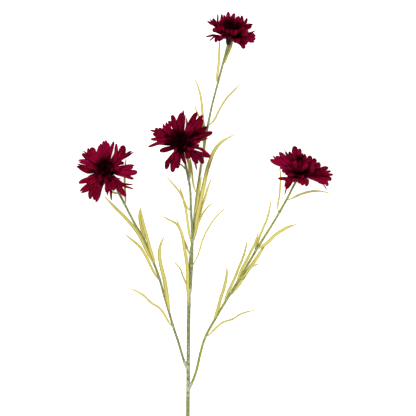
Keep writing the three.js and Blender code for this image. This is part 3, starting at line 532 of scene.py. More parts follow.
class Route:
    """A smooth curve through points, sampled by its length."""

    def __init__(self, points, samples=24):
        knots = [np.array(point, float) for point in points]
        knots = [2 * knots[0] - knots[1], *knots, 2 * knots[-1] - knots[-2]]
        line = []
        for before, start, end, after in zip(knots, knots[1:], knots[2:], knots[3:]):
            pairs = (before, start), (start, end), (end, after)
            first, middle, last = (math.sqrt(np.linalg.norm(b - a)) for a, b in pairs)
            leave = (start - before) / first - (end - before) / (first + middle) + (end - start) / middle
            arrive = (end - start) / middle - (after - start) / (middle + last) + (after - end) / last
            for t in np.linspace(0, 1, samples, endpoint=False):
                line.append(
                    (2 * t**3 - 3 * t**2 + 1) * start + (t**3 - 2 * t**2 + t) * middle * leave
                    + (3 * t**2 - 2 * t**3) * end + (t**3 - t**2) * middle * arrive)
        line.append(knots[-2])
        self.line = np.array(line)
        steps = np.linalg.norm(np.diff(self.line, axis=0), axis=1)
        self.reach = np.concatenate([[0], np.cumsum(steps)])
        self.length = self.reach[-1]

    def at(self, share):
        share = np.asarray(share, float)
        axes = [np.interp(share * self.length, self.reach, self.line[:, k]) for k in range(3)]
        return np.stack(axes, axis=-1)

    def along(self, share, step=0.004):
        ahead = self.at(np.clip(share + step, 0, 1)) - self.at(np.clip(share - step, 0, 1))
        return ahead / np.linalg.norm(ahead, axis=-1, keepdims=True)

    def nearest(self, place, samples=600):
        """The share of its length at which the route comes nearest to a place seen from above."""
        shares = np.linspace(0, 1, samples)
        gaps = np.hypot(*(self.at(shares)[:, :2] - place).T)
        return shares[int(np.argmin(gaps))]


def set_on(form, seat, turn, floor=0.0):
    """Points of a bloom's own frame, turned onto its seat and kept above the surface."""
    world = np.array(form) @ np.array(turn.to_matrix()).T + np.array(seat)
    world[:, 2] = np.maximum(world[:, 2], floor)
    nearer = (VIEW["eye"] - world[:, 2:]) / (VIEW["eye"] - VIEW["plane"])
    world[:, :2] = VIEW["aim"] + (world[:, :2] - VIEW["aim"]) * nearer
    return (world - (*OUTLINE_CENTRE, 0)) * MM


def bloom_frame(name):
    """The seat, facing and turn of a bloom."""
    bloom = BLOOMS[name]
    facing = Vector(bloom["axis"]).normalized()
    return Vector(bloom["seat"]), facing, UP.rotation_difference(facing)


def seated(form, seat, turn):
    """Points of a bloom's own frame, in the part's own frame."""
    return [placed(turn @ Vector(point) + seat) for point in form]


def stem_route(name):
    """The route of a stem, carried on to its calyx."""
    seat, facing, _ = bloom_frame(STEMS[name]["bloom"])
    neck = seat - facing * (CALYX["length"] + NECK_GAP)
    return Route([*STEMS[name]["route"], tuple(neck)])


def stem_radius(name, point, share):
    """The radius of a stem at a point of it."""
    if name != "main":
        return BRANCH["foot"] + (BRANCH["head"] - BRANCH["foot"]) * share
    return float(np.interp(point[1], STEM_WIDTHS["at"], STEM_WIDTHS["radius"]))


# Modelling by hand


def clear_selection():
    if bpy.context.object and bpy.context.object.mode != "OBJECT":
        bpy.ops.object.mode_set(mode="OBJECT")
    bpy.ops.object.select_all(action="DESELECT")


def pick(piece):
    clear_selection()
    piece.select_set(True)
    bpy.context.view_layer.objects.active = piece


def select_points(piece, wanted):
    """Selects the points that wanted(place) picks and opens edit mode."""
    pick(piece)
    bpy.ops.object.mode_set(mode="EDIT")
    bpy.ops.mesh.select_mode(type="VERT")
    bpy.ops.mesh.select_all(action="DESELECT")
    bpy.ops.object.mode_set(mode="OBJECT")
    for point in piece.data.vertices:
        point.select = wanted(point.co)
    bpy.ops.object.mode_set(mode="EDIT")


def flat_points(piece):
    """The places of a piece's points."""
    numbers = np.empty(len(piece.data.vertices) * 3)
    piece.data.vertices.foreach_get("co", numbers)
    return numbers.reshape(-1, 3)


def bend_to(piece, places):
    piece.data.vertices.foreach_set("co", np.asarray(places, np.float32).ravel())
    piece.data.update()


def lay_map(piece, flat):
    """Gives a piece a map of its own flat cut."""
    chart = piece.data.uv_layers.get("UVMap") or piece.data.uv_layers.new(name="UVMap")
    corners = np.empty(len(piece.data.loops), int)
    piece.data.loops.foreach_get("vertex_index", corners)
    chart.data.foreach_set("uv", flat[corners, :2].astype(np.float32).ravel())


def mark(piece, name, values):
    """Stores a number at each point, for the finish to read."""
    layer = piece.data.attributes.get(name) or piece.data.attributes.new(name, "FLOAT", "POINT")
    numbers = np.broadcast_to(np.asarray(values, np.float32), len(piece.data.vertices))
    layer.data.foreach_set("value", np.ascontiguousarray(numbers))


def copy_of(pattern, name):
    piece = pattern.copy()
    piece.data = pattern.data.copy()
    piece.name = name
    bpy.context.collection.objects.link(piece)
    return piece


def joined(pieces, name):
    clear_selection()
    for piece in pieces:
        piece.select_set(True)
    bpy.context.view_layer.objects.active = pieces[0]
    if len(pieces) > 1:
        bpy.ops.object.join()
    whole = bpy.context.object
    whole.name = name
    whole.data.name = name
    return whole


def apply_modifier(piece, kind, **settings):
    pick(piece)
    modifier = piece.modifiers.new(kind.title(), kind)
    for key, value in settings.items():
        setattr(modifier, key, value)
    bpy.ops.object.modifier_apply(modifier=modifier.name)


def shell(piece, thickness, levels=1):
    """Rounds a sheet, gives it its thickness and turns its faces outwards."""
    if levels:
        apply_modifier(piece, "SUBSURF", levels=levels, render_levels=levels)
    apply_modifier(piece, "SOLIDIFY", thickness=thickness, offset=0)
    face_outwards(piece)


def face_outwards(piece):
    pick(piece)
    bpy.ops.object.mode_set(mode="EDIT")
    bpy.ops.mesh.select_all(action="SELECT")
    bpy.ops.mesh.normals_make_consistent(inside=False)
    bpy.ops.object.mode_set(mode="OBJECT")
    bpy.ops.object.shade_smooth()


def hand_over(piece, material, slot, *nodes):
    """Dresses a finished piece and puts it in the place of its nodes."""
    piece.data.materials.clear()
    piece.data.materials.append(material)
    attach(piece, "root")
    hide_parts(*nodes)


# Finishes


class Value:
    """A shader socket on which sums can be written."""

    def __init__(self, finish, socket):
        self.finish = finish
        self.socket = socket

    def math(self, operation, first, second=0.0):
        node = self.finish.node("ShaderNodeMath", {"operation": operation}, {0: first, 1: second})
        return Value(self.finish, node.outputs[0])

    def __add__(self, other):
        return self.math("ADD", self, other)

    def __sub__(self, other):
        return self.math("SUBTRACT", self, other)

    def __rsub__(self, other):
        return self.math("SUBTRACT", other, self)

    def __mul__(self, other):
        return self.math("MULTIPLY", self, other)

    def __abs__(self):
        return self.math("ABSOLUTE", self)

    __radd__ = __add__
    __rmul__ = __mul__


class Finish:
    """A material built from nodes."""

    def __init__(self, name):
        self.material = bpy.data.materials.new(name)
        self.material.use_nodes = True
        self.tree = self.material.node_tree
        self.shader = self.tree.nodes["Principled BSDF"]

    def node(self, kind, settings=None, sockets=None):
        node = self.tree.nodes.new(kind)
        for key, value in (settings or {}).items():
            setattr(node, key, value)
        for key, value in (sockets or {}).items():
            self.plug(node.inputs[key], value)
        return node

    def plug(self, socket, value):
        if isinstance(value, Value):
            self.tree.links.new(value.socket, socket)
        elif hasattr(value, "__len__") and socket.type == "RGBA":
            socket.default_value = (*value, 1)
        else:
            socket.default_value = value

    def value(self, node, output=0):
        return Value(self, node.outputs[output])

    def place(self):
        return self.value(self.node("ShaderNodeTexCoord"), "Object")

    def cut(self):
        """The piece's own flat map, as (across, along)."""
        split = self.node("ShaderNodeSeparateXYZ", None, {0: self.value(self.node("ShaderNodeUVMap"), "UV")})
        return self.value(split, "X"), self.value(split, "Y")

    def marked(self, name):
        return self.value(self.node("ShaderNodeAttribute", {"attribute_name": name}), "Fac")

    def noise(self, scale, detail=3.0, vector=None, rough=0.55):
        sockets = {"Vector": vector or self.place(), "Scale": scale, "Detail": detail, "Roughness": rough}
        return self.value(self.node("ShaderNodeTexNoise", None, sockets), "Fac")

    def vector(self, x, y, z):
        return self.value(self.node("ShaderNodeCombineXYZ", None, {"X": x, "Y": y, "Z": z}))

    def span(self, value, low, high, start=0.0, end=1.0):
        """Value from low to high, taken to start and end."""
        sockets = {"Value": value, "From Min": low, "From Max": high, "To Min": start, "To Max": end}
        return self.value(self.node("ShaderNodeMapRange", {"interpolation_type": "SMOOTHSTEP"}, sockets))

    def mix(self, factor, first, second):
        node = self.node("ShaderNodeMix", {"data_type": "RGBA"}, {0: factor, 6: first, 7: second})
        return self.value(node, 2)

    def bump(self, height, distance, strength):
        sockets = {"Height": height, "Distance": distance, "Strength": strength}
        return self.value(self.node("ShaderNodeBump", None, sockets))

    def done(self, **sockets):
        for key, value in sockets.items():
            self.plug(self.shader.inputs[key.replace("_", " ")], value)
        return self.material


def petal_finish(colours):
    """Burgundy cloth with fine creases; painted shade in folds, at roots and mid-bloom; painted purple sheen.
    """
    finish = Finish("burgundy_cloth")
    across, along = finish.cut()
    tone = finish.marked("tone")
    streaks = finish.noise(1.0, 4.0, finish.vector(across * 7.0, along * 2.2, tone * 31.0), 0.6)
    blotches = finish.noise(120.0, 2.0)
    # How lit each point is painted, from the florets' light mark with its painted shade
    painted_light = finish.span(finish.marked("light") + streaks * 0.2 - 0.1, 0.0, 1.0)
    # Deeper colour at random in blotches and streaks; the streaks are also the relief, so this is partly
    # painted shade in its low streaks
    depth = finish.span(streaks * 0.6 + blotches * 0.5 + tone * 0.22 - 0.08, 0.3, 0.75)
    base = finish.mix(depth, colours.petal_deep, colours.petal_light)
    # Painted purple sheen in random patches
    purple = finish.span(finish.noise(90.0, 2.0) + tone * 0.25, 0.62, 0.85, 0.0, 0.6)
    base = finish.mix(purple, base, colours.petal_painted_sheen)
    # Painted shade in the creases that run out from the root to every notch
    fold = across.math("FRACT", across) - 0.5
    painted_crease_shade = finish.span(abs(fold) + streaks * 0.12, 0.36, 0.56, 0.0, 0.75)
    base = finish.mix(painted_crease_shade, base, colours.petal_deep)
    # Painted shade: the nearly black middle colour where the florets' light mark is low
    base = finish.mix(painted_light, colours.middle, base)
    weave = finish.noise(2600.0, 1.0)
    height = streaks + weave * 0.16
    return finish.done(
        Base_Color=base,
        Roughness=finish.span(streaks, 0.2, 0.8, 0.55, 0.8),
        Sheen_Weight=0.04,
        Sheen_Roughness=0.4,
        Sheen_Tint=(1.0, 0.01, 0.12),
        Specular_IOR_Level=0.0,
        Normal=finish.bump(height, 0.5 * MM, 0.8),
    )


def middle_finish(colours):
    """The nearly black tuft, wine red at its tips."""
    finish = Finish("dark_tuft")
    _, along = finish.cut()
    tip = finish.span(along + finish.noise(300.0) * 0.3, 1.0, 1.4)
    base = finish.mix(tip, colours.middle, colours.petal_deep)
    return finish.done(
        Base_Color=base, Roughness=0.75, Specular_IOR_Level=0.0,
        Normal=finish.bump(finish.noise(900.0), 0.3 * MM, 0.6))


def leaf_finish(colours):
    """Yellow-green strap leaf with a pale midrib, lines along it and olive shade."""
    finish = Finish("strap_leaf")
    across, along = finish.cut()
    tone = finish.marked("tone")
    aside = abs(across)
    rib = finish.span(aside, 0.06, 0.22, 1.0, 0.0)
    lines = finish.noise(1.0, 3.0, finish.vector(across * 22.0, along * 3.0, tone * 17.0), 0.6)
    patches = finish.noise(55.0, 3.0)
    shade = finish.span(lines * 0.5 + patches * 0.6 + tone * 0.25, 0.5, 0.95)
    olive = [light * share for light, share in zip(colours.leaf, LEAF_SHADE)]
    base = finish.mix(shade, colours.leaf, olive)
    gold = finish.span(aside + lines * 0.12, 0.26, 0.46, 0.0, 0.9)
    base = finish.mix(gold, base, TINTS["gold"])
    base = finish.mix(rib * 0.45, base, TINTS["rib"])
    dry = finish.span(along + patches * 0.3, 1.0, 1.25, 0.0, 0.6)
    base = finish.mix(dry, base, TINTS["dry"])
    return finish.done(
        Base_Color=base,
        Roughness=finish.span(patches, 0.3, 0.7, 0.5, 0.68),
        Specular_IOR_Level=0.3,
        Normal=finish.bump(lines + rib * 0.8, 0.18 * MM, 0.7),
    )


def stem_finish(colours):
    """Grey-green stem with olive stretches and pale powder, thickest round the joins."""
    finish = Finish("powdered_stem")
    powder = finish.marked("powder")
    stretches = finish.noise(28.0, 3.0)
    specks = finish.noise(420.0, 4.0, rough=0.7)
    olive = finish.span(stretches * 0.8 + finish.marked("olive"), 0.52, 0.9)
    base = finish.mix(olive, colours.stem, TINTS["olive"])
    shadow = finish.span(specks, 0.35, 0.55, 0.6, 0.0)
    base = finish.mix(shadow, base, TINTS["specks"])
    dust = finish.span(specks + powder * 0.3 + stretches * 0.12, 0.66, 0.84, 0.0, 0.85)
    base = finish.mix(dust, base, colours.powder)
    return finish.done(
        Base_Color=base,
        Roughness=finish.span(dust, 0.0, 0.8, 0.55, 0.85),
        Specular_IOR_Level=0.3,
        Normal=finish.bump(specks + finish.noise(1500.0) * 0.3, 0.25 * MM, 0.6),
    )


def calyx_finish(colours):
    """Nearly black scales with a paler fringe."""
    finish = Finish("calyx_scales")
    across, along = finish.cut()
    outside = abs(across) * 1.6 + along * 0.55 + finish.noise(700.0) * 0.2
    fringe = finish.span(outside, 0.85, 1.15)
    base = finish.mix(fringe * 0.6, colours.calyx, TINTS["fringe"])
    return finish.done(
        Base_Color=base, Roughness=0.7, Specular_IOR_Level=0.08,
        Normal=finish.bump(finish.noise(1400.0, 3.0), 0.15 * MM, 0.6))


# Petals


def floret_cut(lobes):
    """The flat cut of a floret: a skirt one unit wide for each lobe, and pointed lobes drawn out of it."""
    clear_selection()
    bpy.ops.mesh.primitive_grid_add(x_subdivisions=LOBE_COLUMNS * lobes, y_subdivisions=SKIRT_ROWS, size=1)
    cut = bpy.context.object
    cut.name = f"cut_{lobes}"
    cut.scale = (lobes, CUT_NOTCH, 1)
    cut.location = (lobes / 2, CUT_NOTCH / 2, 0)
    bpy.ops.object.transform_apply(location=True, rotation=False, scale=True)
    slack = 0.01
    for lobe in range(lobes):
        low, high = lobe - slack, lobe + 1 + slack
        select_points(cut, lambda co: abs(co.y - CUT_NOTCH) < slack and low < co.x < high)
        height, width = CUT_NOTCH, 1.0
        for share, wide in LOBE_OUTLINE:
            top = CUT_NOTCH + (1 - CUT_NOTCH) * share
            bpy.ops.mesh.extrude_edges_move(TRANSFORM_OT_translate={"value": (0, top - height, 0)})
            bpy.ops.transform.resize(value=(wide / width, 1, 1), center_override=(lobe + 0.5, top, 0))
            height, width = top, wide
        bpy.ops.object.mode_set(mode="OBJECT")
    return cut


def to_bloom(right, up, rise, facing, turn):
    """A place seen from above, in the bloom's own frame."""
    x = right - rise * facing.x
    y = up - rise * facing.y
    across = Vector((x, y, -(x * facing.x + y * facing.y) / facing.z))
    level = turn.inverted() @ across
    return np.array((level.x, level.y, rise))


def seen(x, y, rise, turn):
    """How a place in the bloom's own frame is seen from above, as (right, up) from the seat."""
    place = turn @ Vector((x, y, rise))
    return place.x, place.y


def plain_rim(ring, azimuth, reach, rise, turn):
    """The rim of a floret in a ring."""
    outward = np.array((math.cos(azimuth), math.sin(azimuth)))
    sideways = np.array((-outward[1], outward[0]))
    rim = []
    for i in range(2 * ring["lobes"] + 1):
        aside = (i - ring["lobes"]) / 2 * ring["width"]
        far = reach * (1 if i % 2 else RING_NOTCH) - RING_ROUND * aside**2
        rim.append(seen(*(outward * far + sideways * aside), rise, turn))
    return rim


def floret_form(flat, rim, rise, kind, facing, turn, settings, draw):
    """Lays the flat cut of a floret on its rim and folds it along the line of sight.

    Returns its points in the bloom's own frame, as seen from above, and how light each is with its painted
    shade at the root and along the sides.
    """
    rim = np.array(rim, float)
    tips, notches = rim[1::2], rim[0::2]
    lobes = len(tips)
    lines = tips - (notches[:-1] + notches[1:]) / 2
    tips = tips + lines * OVERSHOOT["tip"]
    notches[1:-1] -= (lines[:-1] + lines[1:]) / 2 * OVERSHOOT["notch"]
    middle = np.mean([to_bloom(*tip, rise, facing, turn) for tip in tips], axis=0)[:2]
    outward = middle / np.linalg.norm(middle)
    sideways = np.array((-outward[1], outward[0]))
    x, y = flat[:, 0], flat[:, 1]
    lobe = np.clip(x.astype(int), 0, lobes - 1)
    past = np.clip((y - CUT_NOTCH) / (1 - CUT_NOTCH), 0, 1)
    widths = np.linalg.norm(np.diff(notches, axis=0), axis=1)
    # Wide lobes are blunter than narrow ones
    blunt = np.interp(widths, *BLUNT)[lobe]
    narrowed = np.interp(past, *zip((0, 1), *LOBE_OUTLINE))
    within = (x - lobe - 0.5) * narrowed ** -blunt
    x = lobe + 0.5 + within
    side = x / lobes * 2 - 1
    aside = sideways * settings.root / MM / 2
    roots = [seen(*(outward * kind["root"] + aside * s), ROOT_HEIGHT, turn) for s in (-1, 1)]
    root = np.column_stack([np.interp(side, [-1, 1], [roots[0][k], roots[1][k]]) for k in (0, 1)])
    row = np.column_stack([np.interp(x, np.arange(lobes + 1), notches[:, k]) for k in (0, 1)])
    root_middle, row_middle = np.mean(roots, axis=0), notches.mean(axis=0)
    skirt = np.clip(y / CUT_NOTCH, 0, 1)[:, None]
    spread = skirt ** kind["full"]
    view = (
        root_middle + (row_middle - root_middle) * skirt
        + (root - root_middle) * (1 - spread) + (row - row_middle) * spread)
    lines = tips - (notches[:-1] + notches[1:]) / 2
    view += lines[lobe] * past[:, None]
    before, beyond = np.linalg.norm(row_middle - root_middle), np.linalg.norm(lines, axis=1).mean()
    lobe_share = beyond / (before + beyond)
    t = skirt[:, 0] * (1 - lobe_share) + past * lobe_share
    opens, over = FOLDS["open"]
    open_up = np.clip((t - opens) / over, 0, 1)
    bend_height = max(rise, 0) * FOLDS["bend"] + settings.arch / MM
    height = (1 - t) ** 2 * ROOT_HEIGHT + 2 * t * (1 - t) * bend_height + t**2 * rise
    curls = np.array([2 * draw() - 1 for _ in range(lobes)]) * settings.curl / MM
    leans = np.array([2 * draw() - 1 for _ in range(lobes)])
    phase, phase_across = draw() * FULL_TURN, draw() * FULL_TURN
    ripple = drawn(draw, *FOLDS["ripple"])
    cup = kind["cup"] * drawn(draw, *FOLDS["cup"]) * min(1, widths.sum() / FOLDS["cup_width"])
    height += cup * side**2 * open_up
    height += settings.pleat / MM * np.cos(2 * math.pi * within) * open_up * (1 - FOLDS["fade"] * past)
    lengthways, crossways, askew = FOLDS["waves"]
    crossing = np.sin(phase_across + crossways * side + askew * t)
    height += ripple * t * (np.sin(phase + lengthways * t) + 0.5 * crossing)
    curl = curls[lobe] - FOLDS["back"] * settings.curl / MM
    height += curl * past**2 * np.minimum(1, widths[lobe] / FOLDS["curl_width"])
    height += leans[lobe] * within * widths[lobe] * FOLDS["lean"] * past
    # Painted shade at the root and along the sides, where neighbouring florets would shade it
    shade = SIDE_SHADE[0] * np.abs(side) ** 4 * np.clip(1 - t / SIDE_SHADE[1], 0, 1)
    light = np.clip(t / ROOT_SHADE, 0, 1) * np.clip(1 - shade, 0, 1)
    return np.array([to_bloom(*v, h, facing, turn) for v, h in zip(view, height)]), view, light


def petals(name, cuts, settings):
    """All florets of a bloom: rings round its middle, and the outer ones with their shorter companions."""
    bloom = BLOOMS[name]
    seat, facing, turn = bloom_frame(name)
    draw = draws(bloom["seed"])
    shapes = []
    for ring in RINGS.values():
        for i in range(ring["count"]):
            azimuth = (i + RING_TURN * draw()) * 2 * math.pi / ring["count"]
            reach = ring["reach"] + ring["vary"] * (draw() - 0.5)
            rise = ring["rise"] + ring["vary"] * (draw() - 0.5)
            shapes.append((plain_rim(ring, azimuth, reach, rise, turn), rise, ring))
    for rise, rim in bloom["florets"]:
        shapes.append((rim, rise, OUTER if rise < CURLED_FROM else CURL))
        if rise < CURLED_FROM and len(rim) > 3:
            angle = math.radians(COMPANION["turn"]) * (2 * draw() - 1)
            reach = drawn(draw, *COMPANION["reach"])
            high = rise + drawn(draw, *COMPANION["rise"])
            cosine, sine = math.cos(angle) * reach, math.sin(angle) * reach
            cover = []
            for right, up in rim:
                x, y, _ = to_bloom(right, up, rise, facing, turn)
                cover.append(seen(cosine * x - sine * y, sine * x + cosine * y, high, turn))
            shapes.append((cover, high, COVER))
    pieces = []
    for i, (rim, rise, kind) in enumerate(shapes):
        cut = cuts[len(rim) // 2]
        flat = flat_points(cut)
        form, view, light = floret_form(flat, rim, rise, kind, facing, turn, settings, draw)
        piece = copy_of(cut, f"floret_{i}")
        bend_to(piece, set_on(form, seat, turn, LOWEST["floret"]))
        lay_map(piece, flat + (i * MAP_STEP, 0, 0))
        mark(piece, "tone", draw())
        # Painted shade: near black close to the axis, lighter or darker by the bloom's painted brightness,
        # and dimmed under its painted shadows; each floret is also darker at random
        far = (np.hypot(form[:, 0], form[:, 1]) - HEART_PAINTED_SHADE[0]) / (HEART_PAINTED_SHADE[1] - HEART_PAINTED_SHADE[0])
        least, more = kind["lit"]
        light *= np.clip(far, least + more * draw() ** 2, 1) * (1 - UNEVEN * draw()) * bloom["bright"]
        least, more = PAINTED_SHADOW["lit"]
        for right, up, reach in bloom["painted_shadows"]:
            away = np.hypot(view[:, 0] - right, view[:, 1] - up) / reach
            dimmed = max(kind["over"], least + more * draw() ** 2)
            light *= np.clip(away * PAINTED_SHADOW["grade"] - PAINTED_SHADOW["below"], dimmed, 1)
        mark(piece, "light", light)
        pieces.append(piece)
    clear_selection()
    bpy.ops.mesh.primitive_cylinder_add(vertices=20, radius=1, depth=1)
    core = bpy.context.object
    tall = CORE["top"] - CORE["foot"]
    form = flat_points(core) * (CORE["radius"], CORE["radius"], tall) + (0, 0, CORE["foot"] + tall / 2)
    bend_to(core, set_on(form, seat, turn))
    return joined(pieces, f"bloom_{name}"), core


class CORNFLOWER_OT_petals(bpy.types.Operator):
    """Make the florets of the four blooms"""

    bl_idname = "cornflower.petals"
    bl_label = "Petals"

    def execute(self, context):
        settings = context.scene.cornflower_blooms
        material = petal_finish(context.scene.cornflower_finishes)
        counts = {len(rim) // 2 for bloom in BLOOMS.values() for _, rim in bloom["florets"]}
        counts |= {ring["lobes"] for ring in RINGS.values()}
        cuts = {lobes: floret_cut(lobes) for lobes in sorted(counts)}
        for name in BLOOMS:
            florets, core = petals(name, cuts, settings)
            shell(florets, settings.cloth)
            head = joined([florets, core], f"bloom_{name}")
            hand_over(head, material, "petal", f"petals_{name}")
        for cut in cuts.values():
            bpy.data.objects.remove(cut)
        return {"FINISHED"}


# Middles and calyxes


def stamen_cut():
    """A closed floret: a slender six-sided tube drawn out to a blunt bud."""
    clear_selection()
    bpy.ops.mesh.primitive_circle_add(vertices=6, radius=STAMEN["radius"], fill_type="NGON")
    bud = bpy.context.object
    pick(bud)
    bpy.ops.object.mode_set(mode="EDIT")
    bpy.ops.mesh.select_all(action="SELECT")
    bpy.ops.mesh.flip_normals()
    height, width = 0.0, 1.0
    for share, wide in STAMEN["outline"]:
        bpy.ops.mesh.extrude_region_move(TRANSFORM_OT_translate={"value": (0, 0, share - height)})
        scale = wide / width
        bpy.ops.transform.resize(value=(scale, scale, 1), center_override=(0, 0, share))
        height, width = share, wide
    bpy.ops.object.mode_set(mode="OBJECT")
    return bud


def middle(name, bud, settings):
    """The dark tuft of a bloom: closed florets set in a spiral on a low dome."""
    bloom = BLOOMS[name]
    seat, _, turn = bloom_frame(name)
    draw = draws(bloom["seed"] + TUFT["seed"])
    flat = flat_points(bud)
    thick, rise = flat * (1, 1, 0), flat[:, 2:3]
    golden = math.pi * (3 - math.sqrt(5))
    pieces = []
    for i in range(settings.stamens):
        share = math.sqrt((i + 0.5) / settings.stamens)
        azimuth = i * golden
        outward = np.array((math.cos(azimuth), math.sin(azimuth), 0)) * share
        top = TUFT["top"] - TUFT["droop"] * share + draw() * TUFT["uneven"]
        foot = outward * TUFT["foot"] + (0, 0, TUFT["base"])
        head = outward * TUFT["head"] + (0, 0, top)
        bow = outward * TUFT["bow"] * np.sin(rise * math.pi)
        form = foot + (head - foot) * rise + thick + bow
        piece = copy_of(bud, f"stamen_{i}")
        bend_to(piece, seated(form, seat, turn))
        lay_map(piece, flat[:, [0, 2]])
        pieces.append(piece)
    clear_selection()
    bpy.ops.mesh.primitive_uv_sphere_add(segments=18, ring_count=10, radius=1)
    dome = bpy.context.object
    flat = flat_points(dome)
    bend_to(dome, seated(flat * DOME["size"] + (0, 0, DOME["height"]), seat, turn))
    lay_map(dome, flat * 0)
    pieces.insert(0, dome)
    return joined(pieces, f"middle_{name}")


class CORNFLOWER_OT_middles(bpy.types.Operator):
    """Make the dark middles of the four blooms"""

    bl_idname = "cornflower.middles"
    bl_label = "Middles"

    def execute(self, context):
        settings = context.scene.cornflower_blooms
        material = middle_finish(context.scene.cornflower_finishes)
        bud = stamen_cut()
        for name in BLOOMS:
            tuft = middle(name, bud, settings)
            face_outwards(tuft)
            hand_over(tuft, material, "disc", f"disc_{name}")
        bpy.data.objects.remove(bud)
        return {"FINISHED"}


def scale_cut():
    """The flat sheet that every scale is bent from."""
    clear_selection()
    bpy.ops.mesh.primitive_grid_add(x_subdivisions=4, y_subdivisions=5, size=1)
    return bpy.context.object


def on_calyx(azimuth, share, lift=0.0):
    """Points round a calyx at shares of its length, or lifted off it, in the bloom's own frame."""
    radius = CALYX["foot"] + (CALYX["rim"] - CALYX["foot"]) * share ** CALYX["widen"] + lift
    height = share * (CALYX["length"] - CALYX["lip"]) - CALYX["length"]
    return np.column_stack([np.cos(azimuth) * radius, np.sin(azimuth) * radius, height])


def calyx(name, scale, settings):
    """A cup covered in rows of overlapping pointed scales, keeled along their middles."""
    seat, _, turn = bloom_frame(name)
    clear_selection()
    bpy.ops.mesh.primitive_cylinder_add(vertices=28, radius=1, depth=1)
    cup = bpy.context.object
    select_points(cup, lambda co: True)
    bpy.ops.mesh.subdivide(number_cuts=1)
    bpy.ops.object.mode_set(mode="OBJECT")
    flat = flat_points(cup)
    bend_to(cup, seated(on_calyx(np.arctan2(flat[:, 1], flat[:, 0]), flat[:, 2] + 0.5), seat, turn))
    lay_map(cup, flat * 0)
    flat = flat_points(scale)
    x, y = flat[:, 0], flat[:, 1] + 0.5
    wide = SCALE["width"] * np.sqrt(np.clip(1 - y ** SCALE["point"], SCALE["least"], 1))
    lift = SCALE["lift"] + SCALE["flare"] * y + SCALE["keel"] * (1 - np.abs(x) * 2)
    pieces = []
    for row in range(settings.scale_rows):
        low = row / (settings.scale_rows + SCALE["free"])
        share = np.clip(low + y * SCALE["length"] / settings.scale_rows, 0, 1)
        for i in range(settings.scales):
            azimuth = (i + 0.5 * (row % 2) + x * wide) * 2 * math.pi / settings.scales
            piece = copy_of(scale, f"scale_{row}_{i}")
            bend_to(piece, seated(on_calyx(azimuth, share, lift), seat, turn))
            lay_map(piece, np.column_stack([x, y]))
            pieces.append(piece)
    scales = joined(pieces, f"scales_{name}")
    shell(scales, SCALE["thickness"] * MM, 0)
    return joined([cup, scales], f"cup_{name}")


class CORNFLOWER_OT_calyxes(bpy.types.Operator):
    """Make the four calyxes"""

    bl_idname = "cornflower.calyxes"
    bl_label = "Calyxes"

    def execute(self, context):
        settings = context.scene.cornflower_blooms
        material = calyx_finish(context.scene.cornflower_finishes)
        scale = scale_cut()
        for name in BLOOMS:
            cup = calyx(name, scale, settings)
            face_outwards(cup)
            hand_over(cup, material, "calyx", f"calyx_{name}")
        bpy.data.objects.remove(scale)
        return {"FINISHED"}


# Stems


def tube(name, points, radii, powder, sides, olive=0.0):
    """A round tube along points, drawn as a curve and made a mesh."""
    curve = bpy.data.curves.new(name, "CURVE")
    curve.dimensions = "3D"
    curve.bevel_depth = MM
    curve.bevel_resolution = sides
    curve.use_fill_caps = True
    line = curve.splines.new("POLY")
    line.points.add(len(points) - 1)
    for knot, point, radius in zip(line.points, points, radii):
        knot.co = (*placed(point), 1)
        knot.radius = radius
    stem = bpy.data.objects.new(name, curve)
    bpy.context.collection.objects.link(stem)
    pick(stem)
    bpy.ops.object.convert(target="MESH")
    stem = bpy.context.object
    places = flat_points(stem)
    places[:, 2] = np.maximum(places[:, 2], 0)
    bend_to(stem, places)
    knots = np.array([placed(point) for point in points])
    nearest = np.argmin(((places[:, None, :] - knots[None]) ** 2).sum(axis=2), axis=1)
    mark(stem, "powder", np.asarray(powder)[nearest])
    mark(stem, "olive", olive)
    return stem


def stem_profile(name, route, start=0.0):
    """Points along a stem, their radii, swollen a little where something leaves it, and their powder."""
    shares = np.linspace(start, 1, int(route.length * (1 - start) / STEM_STEP))
    points = route.at(shares)
    leaves = [shape for group, (stem, _) in LEAF_GROUPS.items() if stem == name for shape in LEAVES[group]]
    joins = [leaf_route[0] for *_, leaf_route in leaves]
    if name == "main":
        joins += [STEMS[branch]["route"][0][:2] for branch in BRANCHES]
    radii, powder = [], []
    for share, point in zip(shares, points):
        near = min(math.hypot(point[0] - x, point[1] - y) for x, y in joins)
        swell = math.exp(-((near / JOIN["reach"]) ** 2))
        radii.append(stem_radius(name, point, share) * (1 + JOIN["swell"] * swell))
        flecked = name == "main" and FLECKS[0] < point[1] < FLECKS[1]
        powder.append(POWDER["stem"] + POWDER["join"] * swell + POWDER["flecks"] * flecked)
    # The head end goes on into its calyx
    _, facing, _ = bloom_frame(STEMS[name]["bloom"])
    points = [*points, points[-1] + np.array(facing) * (NECK_GAP + NECK_INSIDE)]
    return points, [*radii, radii[-1]], [*powder, powder[-1]]


def collar(name, route, sides):
    """The sleeve that a side stem is plugged into, with a rolled rim."""
    reach = COLLAR["length"] / route.length
    points = [route.at(share * reach) for share, _ in COLLAR["profile"]]
    radii = [COLLAR["radius"] + more for _, more in COLLAR["profile"]]
    return tube(f"collar_{name}", points, radii, [1.0] * len(points), sides)


